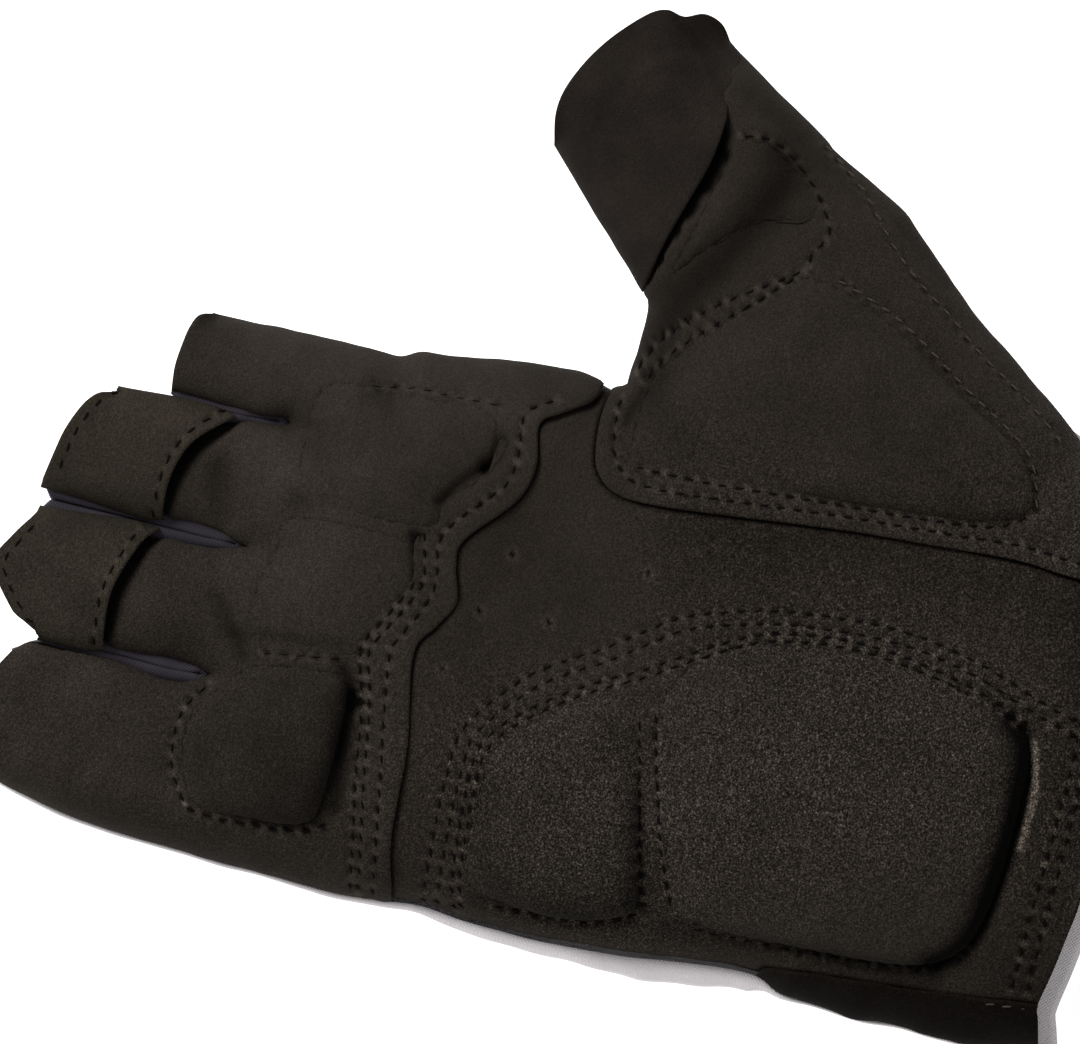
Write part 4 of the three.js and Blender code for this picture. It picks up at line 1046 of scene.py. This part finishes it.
# %% [markdown]
# ## The rim of the back
#
# The knit's closed edges turn up inside the suede's edges. The border edges are extruded ring by
# ring, and each ring rises and draws in a little further. The open ends of the sleeves and the
# wrist stay as they are.

# %% Turn up the rim of the back
RIM_RINGS = [(0.6, 1.0), (0.88, 0.98), (1.02, 0.86), (1.1, 0.5), (1.12, 0.0)]  # height, standing out
open_lines = [WRIST_EDGE, THUMB_TIP] + [curve(end) for end in FINGER_ENDS.values()]
border = [e for e in bm.edges if e.is_boundary]
plan = plan_of(bm)
bm.verts.index_update()
open_at = np.min([nearest(plan, line)[0] for line in open_lines], axis=0) < 0.12
closed = [e for e in border if not all(open_at[v.index] for v in e.verts)]
print("closed border edges:", len(closed), "of", len(border))


def rolled_out(plan):
    """How far the back stands out past the suede on the little finger's side."""
    share = np.interp(plan[:, 1], *zip(*BACK_SHOWS))
    waves = 1 + 0.16 * ripples(plan * np.array([0.2, 1]), 5, 81)
    reach = roll_width * share * waves * bell(nearest(plan, OUTER_EDGE)[0], back_rounding)
    return reach[:, None] * np.array([-1.0, 0.0])


def drawn_in(plan):
    """The back is drawn in under the suede at the thumb and index finger, and runs on at the wrist."""
    move = np.zeros_like(plan)
    for line, way in ((THUMB_OUTER_EDGE, (-0.82, 0.57)), (THUMB_WEB_EDGE, (0.5, -0.86)),
                      (INDEX_EDGE, (-1, 0)), (WRIST_EDGE, (0, -4.0))):
        move += 0.9 * bell(nearest(plan, line)[0], 4)[:, None] * np.array(way)
    return move


foot, heights = back_height(plan)
out = rolled_out(plan)
plan = plan + drawn_in(plan)
for vert, (x, y), z in zip(bm.verts, plan + out, heights):
    vert.co = (x, y, z * 0.32)
edges = closed
home = {v: (plan[v.index], foot[v.index], out[v.index]) for e in closed for v in e.verts}
for high, bulge in RIM_RINGS:
    before = {v.co.copy().freeze(): v for e in edges for v in e.verts}
    made = bmesh.ops.extrude_edge_only(bm, edges=edges)["geom"]
    edges = [g for g in made if isinstance(g, bmesh.types.BMEdge) and g.is_boundary]
    raised = {v: home[before[v.co.copy().freeze()]] for v in made if isinstance(v, bmesh.types.BMVert)}
    for vert, (at, edge_height, move) in raised.items():
        rolled = min(1, abs(move[0]) / 2)
        height = edge_height * mix(min(high, 1), high, rolled)
        vert.co = (at[0] + move[0] * bulge, at[1] + move[1] * bulge, height)
    home = raised
bmesh.ops.recalc_face_normals(bm, faces=bm.faces)
down = min(bm.faces, key=lambda f: f.calc_center_median().z)
if down.normal.z > 0:
    bmesh.ops.reverse_faces(bm, faces=bm.faces)
back = finish_piece(bm, "back_knit_shell", wall=0.9, nodes=["back_panel"])

# %% [markdown]
# ## The thread
#
# Each stitch is a short rounded bead of thread, half sunk in its furrow and slightly aslant.
# A bead is one small icosphere, stretched and turned by a matrix, so hundreds stay light.

# %% Sew the rows
def surface_point(plan, lift):
    """A point on the palm side lifted along the normal, with that normal."""
    plan = np.asarray(plan, float)
    step = 0.35
    here = palm_side_height(plan)
    slope = [(palm_side_height(plan + d) - palm_side_height(plan - d)) / (2 * step)
             for d in (np.array([step, 0]), np.array([0, step]))]
    normal = np.column_stack([-slope[0], -slope[1], np.ones(len(plan))])
    normal /= np.linalg.norm(normal, axis=1)[:, None]
    return np.column_stack([plan, here]) + normal * np.asarray(lift).reshape(-1, 1), normal


def sew(name, rows, level, form=None, wide=0.38, slant=7):
    """One mesh of stitches along the rows, wide mm thick and turned by slant degrees."""
    bm = bmesh.new()
    for row in rows:
        length = np.linalg.norm(np.diff(row, axis=0), axis=1).sum()
        count = max(2, round(length / stitch_pitch))
        shares = (np.arange(count) + 0.5) * stitch_pitch / length
        shares = shares[shares < 1]
        at = walk(row, shares)
        ahead = walk(row, np.clip(shares + 0.004, 0, 1)) - walk(row, np.clip(shares - 0.004, 0, 1))
        lift = form(at)[0] if form else np.full(len(at), level)
        spots, normals = surface_point(at, lift + 0.1)
        for spot, normal, step in zip(spots, normals, ahead):
            along = Vector((step[0], step[1], 0))
            along = (along - along.dot(Vector(normal)) * Vector(normal)).normalized()
            along.rotate(Matrix.Rotation(math.radians(slant), 3, Vector(normal)))
            sideways = Vector(normal).cross(along)
            turn = Matrix((along, sideways, Vector(normal))).transposed().to_4x4()
            stretch = Matrix.Diagonal((stitch_pitch * 0.3, wide / 2, wide / 2, 1))
            bmesh.ops.create_icosphere(bm, subdivisions=2, radius=1,
                                       matrix=Matrix.Translation(spot) @ turn @ stretch)
    return finish_piece(bm, name, wall=0)


pale_thread = sew("pale_seam_thread", PALE_ROWS, -0.1, wide=0.34)
threads = [
    sew("palm_thread", PALM_ROWS[:7] + PALM_ROWS[8:], palm_level, palm_form),
    sew("palm_fine_thread", PALM_ROWS[7:8], palm_level, palm_form, wide=0.24),
    sew("finger_thread", FINGER_ROWS[:5], 0.0, finger_form),
    sew("finger_fine_thread", FINGER_ROWS[5:], 0.0, finger_form, wide=0.2),
    sew("thumb_thread", THUMB_ROWS[:5], 0.0, thumb_form),
]
for name, (finger, mouth) in TAB_MOUTHS.items():
    end = curve(FINGER_ENDS[finger])
    hem = walk(end, np.linspace(0.12, 0.88, 40)) - np.array([0, 1.8])
    threads.append(sew(name + "_thread", [mouth_row(mouth), hem], 1.2, tab_form(mouth), wide=0.36))

# %% [markdown]
# ## Suede
#
# Suede is leather with its fibres brushed up. It hardly shines, its fine fibres catch single
# specks of light, and it looks cloudy where the nap lies in different directions. Three noise
# patterns give specks, fibres and clouds, and the tone attribute adds painted shade and highlights.

# %% Suede finish
def new_material(name, roughness, shine):
    material = bpy.data.materials.new(name)
    material.use_nodes = True
    tree = material.node_tree
    shader = tree.nodes["Principled BSDF"]
    shader.inputs["Roughness"].default_value = roughness
    shader.inputs["Specular IOR Level"].default_value = shine
    return material, tree, shader


def mathnode(tree, operation, a, b=0):
    node = tree.nodes.new("ShaderNodeMath")
    node.operation = operation
    for socket, value in zip(node.inputs, (a, b)):
        if isinstance(value, (int, float)):
            socket.default_value = value
        else:
            tree.links.new(value, socket)
    return node.outputs[0]


def noise(tree, scale, detail, roughness=0.5):
    """A noise pattern on the object's own coordinates."""
    node = tree.nodes.new("ShaderNodeTexNoise")
    for socket, value in (("Scale", scale), ("Detail", detail), ("Roughness", roughness)):
        node.inputs[socket].default_value = value
    tree.links.new(tree.nodes.new("ShaderNodeTexCoord").outputs["Object"], node.inputs["Vector"])
    return node.outputs[0]


def paint(tree, shader, colour, value):
    """The base colour is one colour, given as in a picture, times a value."""
    tint = tree.nodes.new("ShaderNodeVectorMath")
    tint.operation = "SCALE"
    tint.inputs[0].default_value = [((c / 255 + 0.055) / 1.055) ** 2.4 if c > 10 else c / 255 / 12.92
                                    for c in colour]
    tree.links.new(value, tint.inputs["Scale"])
    tree.links.new(tint.outputs[0], shader.inputs["Base Color"])


def emboss(tree, shader, height, strength, distance):
    relief = tree.nodes.new("ShaderNodeBump")
    relief.inputs["Strength"].default_value = strength
    relief.inputs["Distance"].default_value = distance
    tree.links.new(height, relief.inputs["Height"])
    tree.links.new(relief.outputs[0], shader.inputs["Normal"])


def suede(name, colour, clouds=0.25, bump=0.5, shine=0.03):
    material, tree, shader = new_material(name, 0.95, shine)
    speck, fibre, cloud = noise(tree, 3300, 1, 0.6), noise(tree, 1500, 2, 0.6), noise(tree, 95, 3, 0.6)
    tone, grain = (tree.nodes.new("ShaderNodeAttribute") for _ in range(2))
    tone.attribute_name, grain.attribute_name = "tone", "grain"
    mixed = mathnode(tree, "ADD", speck, mathnode(tree, "MULTIPLY", fibre, 0.4))
    power = mathnode(tree, "MULTIPLY", mathnode(tree, "SUBTRACT", mixed, 0.7), grain.outputs["Fac"])
    value = mathnode(tree, "POWER", 130.0, power)
    cloudy = mathnode(tree, "MULTIPLY", mathnode(tree, "SUBTRACT", cloud, 0.5), clouds * 2)
    value = mathnode(tree, "MULTIPLY", value, mathnode(tree, "ADD", cloudy, 1.0))
    # The tone attribute brings in the painted shade and highlights, and the lighter or darker spots.
    toned = mathnode(tree, "MAXIMUM", mathnode(tree, "ADD", tone.outputs["Fac"], 1.0), 0.03)
    paint(tree, shader, colour, mathnode(tree, "MULTIPLY", value, toned))
    height = mathnode(tree, "ADD", speck, mathnode(tree, "MULTIPLY", fibre, 0.6))
    emboss(tree, shader, height, bump, 0.00035)
    shader.inputs["Sheen Weight"].default_value = 0.4 * shine
    shader.inputs["Sheen Roughness"].default_value = 0.6
    shader.inputs["Sheen Tint"].default_value = (0.6, 0.52, 0.45, 1)
    return material


finger_suede = suede("brushed_finger_suede", (38, 34, 30), clouds=0.4)
thumb_suede = suede("brushed_thumb_suede", (36, 32, 28), clouds=0.35)
heel_suede = suede("brushed_heel_suede", (40, 36, 32), clouds=0.15, bump=0.7)
tab_suede = suede("brushed_band_suede", (41, 37, 31), clouds=0.5)
palm.data.materials.append(suede("brushed_palm_suede", (36, 32, 28)))
finger_piece.data.materials.append(finger_suede)
thumb.data.materials.append(thumb_suede)
thumb_band.data.materials.append(suede("brushed_thumb_end_suede", (32, 28, 25), clouds=0.6))
strip.data.materials.append(suede("creased_strip_suede", (11, 8, 6)))
for name, piece in pads.items():
    kind = name.split("_")[1]
    piece.data.materials.append({"knuckle": finger_suede, "heel": heel_suede}.get(kind, thumb_suede))
for piece in tabs.values():
    piece.data.materials.append(tab_suede)
print("suede finishes:", len(bpy.data.materials))

# %% [markdown]
# ## Knit and thread
#
# Stretch knit is smooth, with tiny loops in columns. Crossed waves in the object's own
# coordinates make the loops, at about half a millimetre. The thread is dark and slightly shiny.

# %% Knit and thread finishes
def knit(name, colour, depth=0.25):
    material, tree, shader = new_material(name, 0.8, 0.25)
    split = tree.nodes.new("ShaderNodeSeparateXYZ")
    tree.links.new(tree.nodes.new("ShaderNodeTexCoord").outputs["Object"], split.inputs[0])
    per_metre = 2 * math.pi / (loop_mm * 0.001)
    x, y, z = split.outputs
    columns = mathnode(tree, "SINE", mathnode(tree, "MULTIPLY", x, per_metre))
    rows = mathnode(tree, "SINE", mathnode(tree, "MULTIPLY", mathnode(tree, "ADD", y, z), per_metre))
    loops = mathnode(tree, "MULTIPLY", columns, rows)
    cloudy = mathnode(tree, "ADD", 0.9, mathnode(tree, "MULTIPLY", noise(tree, 120, 3), 0.2))
    paint(tree, shader, colour, mathnode(tree, "ADD", mathnode(tree, "MULTIPLY", loops, depth * 0.5), cloudy))
    emboss(tree, shader, loops, 0.4, 0.0002)
    return material


def thread(name, colour):
    material, tree, shader = new_material(name, 0.9, 0.05)
    paint(tree, shader, colour, mathnode(tree, "MULTIPLY", noise(tree, 4200, 1), 1.6))
    return material


loop_mm = 0.55
back.data.materials.append(knit("pale_back_knit", (224, 219, 221), depth=0.08))
navy = knit("navy_gusset_knit", (39, 35, 42), depth=0.4)
for piece in gussets:
    piece.data.materials.append(navy)
pale_thread.data.materials.append(thread("pale_sewing_thread", (68, 62, 56)))
dark_thread = thread("dark_sewing_thread", (12, 9, 8))
for piece in threads:
    piece.data.materials.append(dark_thread)
print("materials:", len(bpy.data.materials))

# %% [markdown]
# ## Table, light and camera
#
# The photograph looks straight down through a long lens at a glove on a white table. Broad soft
# light fills everything, and one large lamp on the fingertips' and thumb's side models the pads.

# %% Studio
aim = Vector((0.0196, 0.0140, 0.012))  # the middle of the picture
picture_width, camera_height, sensor_width = 0.1728, 3.2, 36
camera_turn = math.radians(-78)
lamp_size, lamp_power, lamp_away, lamp_height = 0.7, 22, 1.15, 0.95

bm = bmesh.new()
bmesh.ops.create_grid(bm, x_segments=1, y_segments=1, size=3.0)
floor_mesh = bpy.data.meshes.new("table")
bm.to_mesh(floor_mesh)
bm.free()
floor = bpy.data.objects.new("table", floor_mesh)
bpy.context.scene.collection.objects.link(floor)
floor.location.z = -0.0003
white, _, shader = new_material("white_table", 0.9, 0.5)
shader.inputs["Base Color"].default_value = (0.86, 0.86, 0.86, 1)
shader.inputs["Emission Color"].default_value = (1, 1, 1, 1)
shader.inputs["Emission Strength"].default_value = 0.6
floor_mesh.materials.append(white)

world = bpy.data.worlds.new("soft studio")
bpy.context.scene.world = world
world.use_nodes = True
world.node_tree.nodes["Background"].inputs["Color"].default_value = (1, 1, 1, 1)
world.node_tree.nodes["Background"].inputs["Strength"].default_value = 0.65

lamp_data = bpy.data.lights.new("large soft lamp", "AREA")
lamp_data.shape = "DISK"
lamp_data.size = lamp_size
lamp_data.energy = lamp_power
lamp = bpy.data.objects.new("large soft lamp", lamp_data)
bpy.context.scene.collection.objects.link(lamp)
lamp.location = aim + Vector((0.70, 1.0, 0)).normalized() * lamp_away + Vector((0, 0, lamp_height))
lamp.rotation_euler = (aim - lamp.location).to_track_quat("-Z", "Y").to_euler()

camera_data = bpy.data.cameras.new("camera")
camera_data.sensor_width = sensor_width
camera_data.lens = sensor_width * camera_height / picture_width
camera = bpy.data.objects.new("camera", camera_data)
bpy.context.scene.collection.objects.link(camera)
camera.location = aim + Vector((0, 0, camera_height))
camera.rotation_euler = (0, 0, camera_turn)
bpy.context.scene.camera = camera
bpy.context.scene.view_settings.view_transform = "Standard"
print("camera", camera_height, "m above the palm, lens", round(camera_data.lens), "mm")
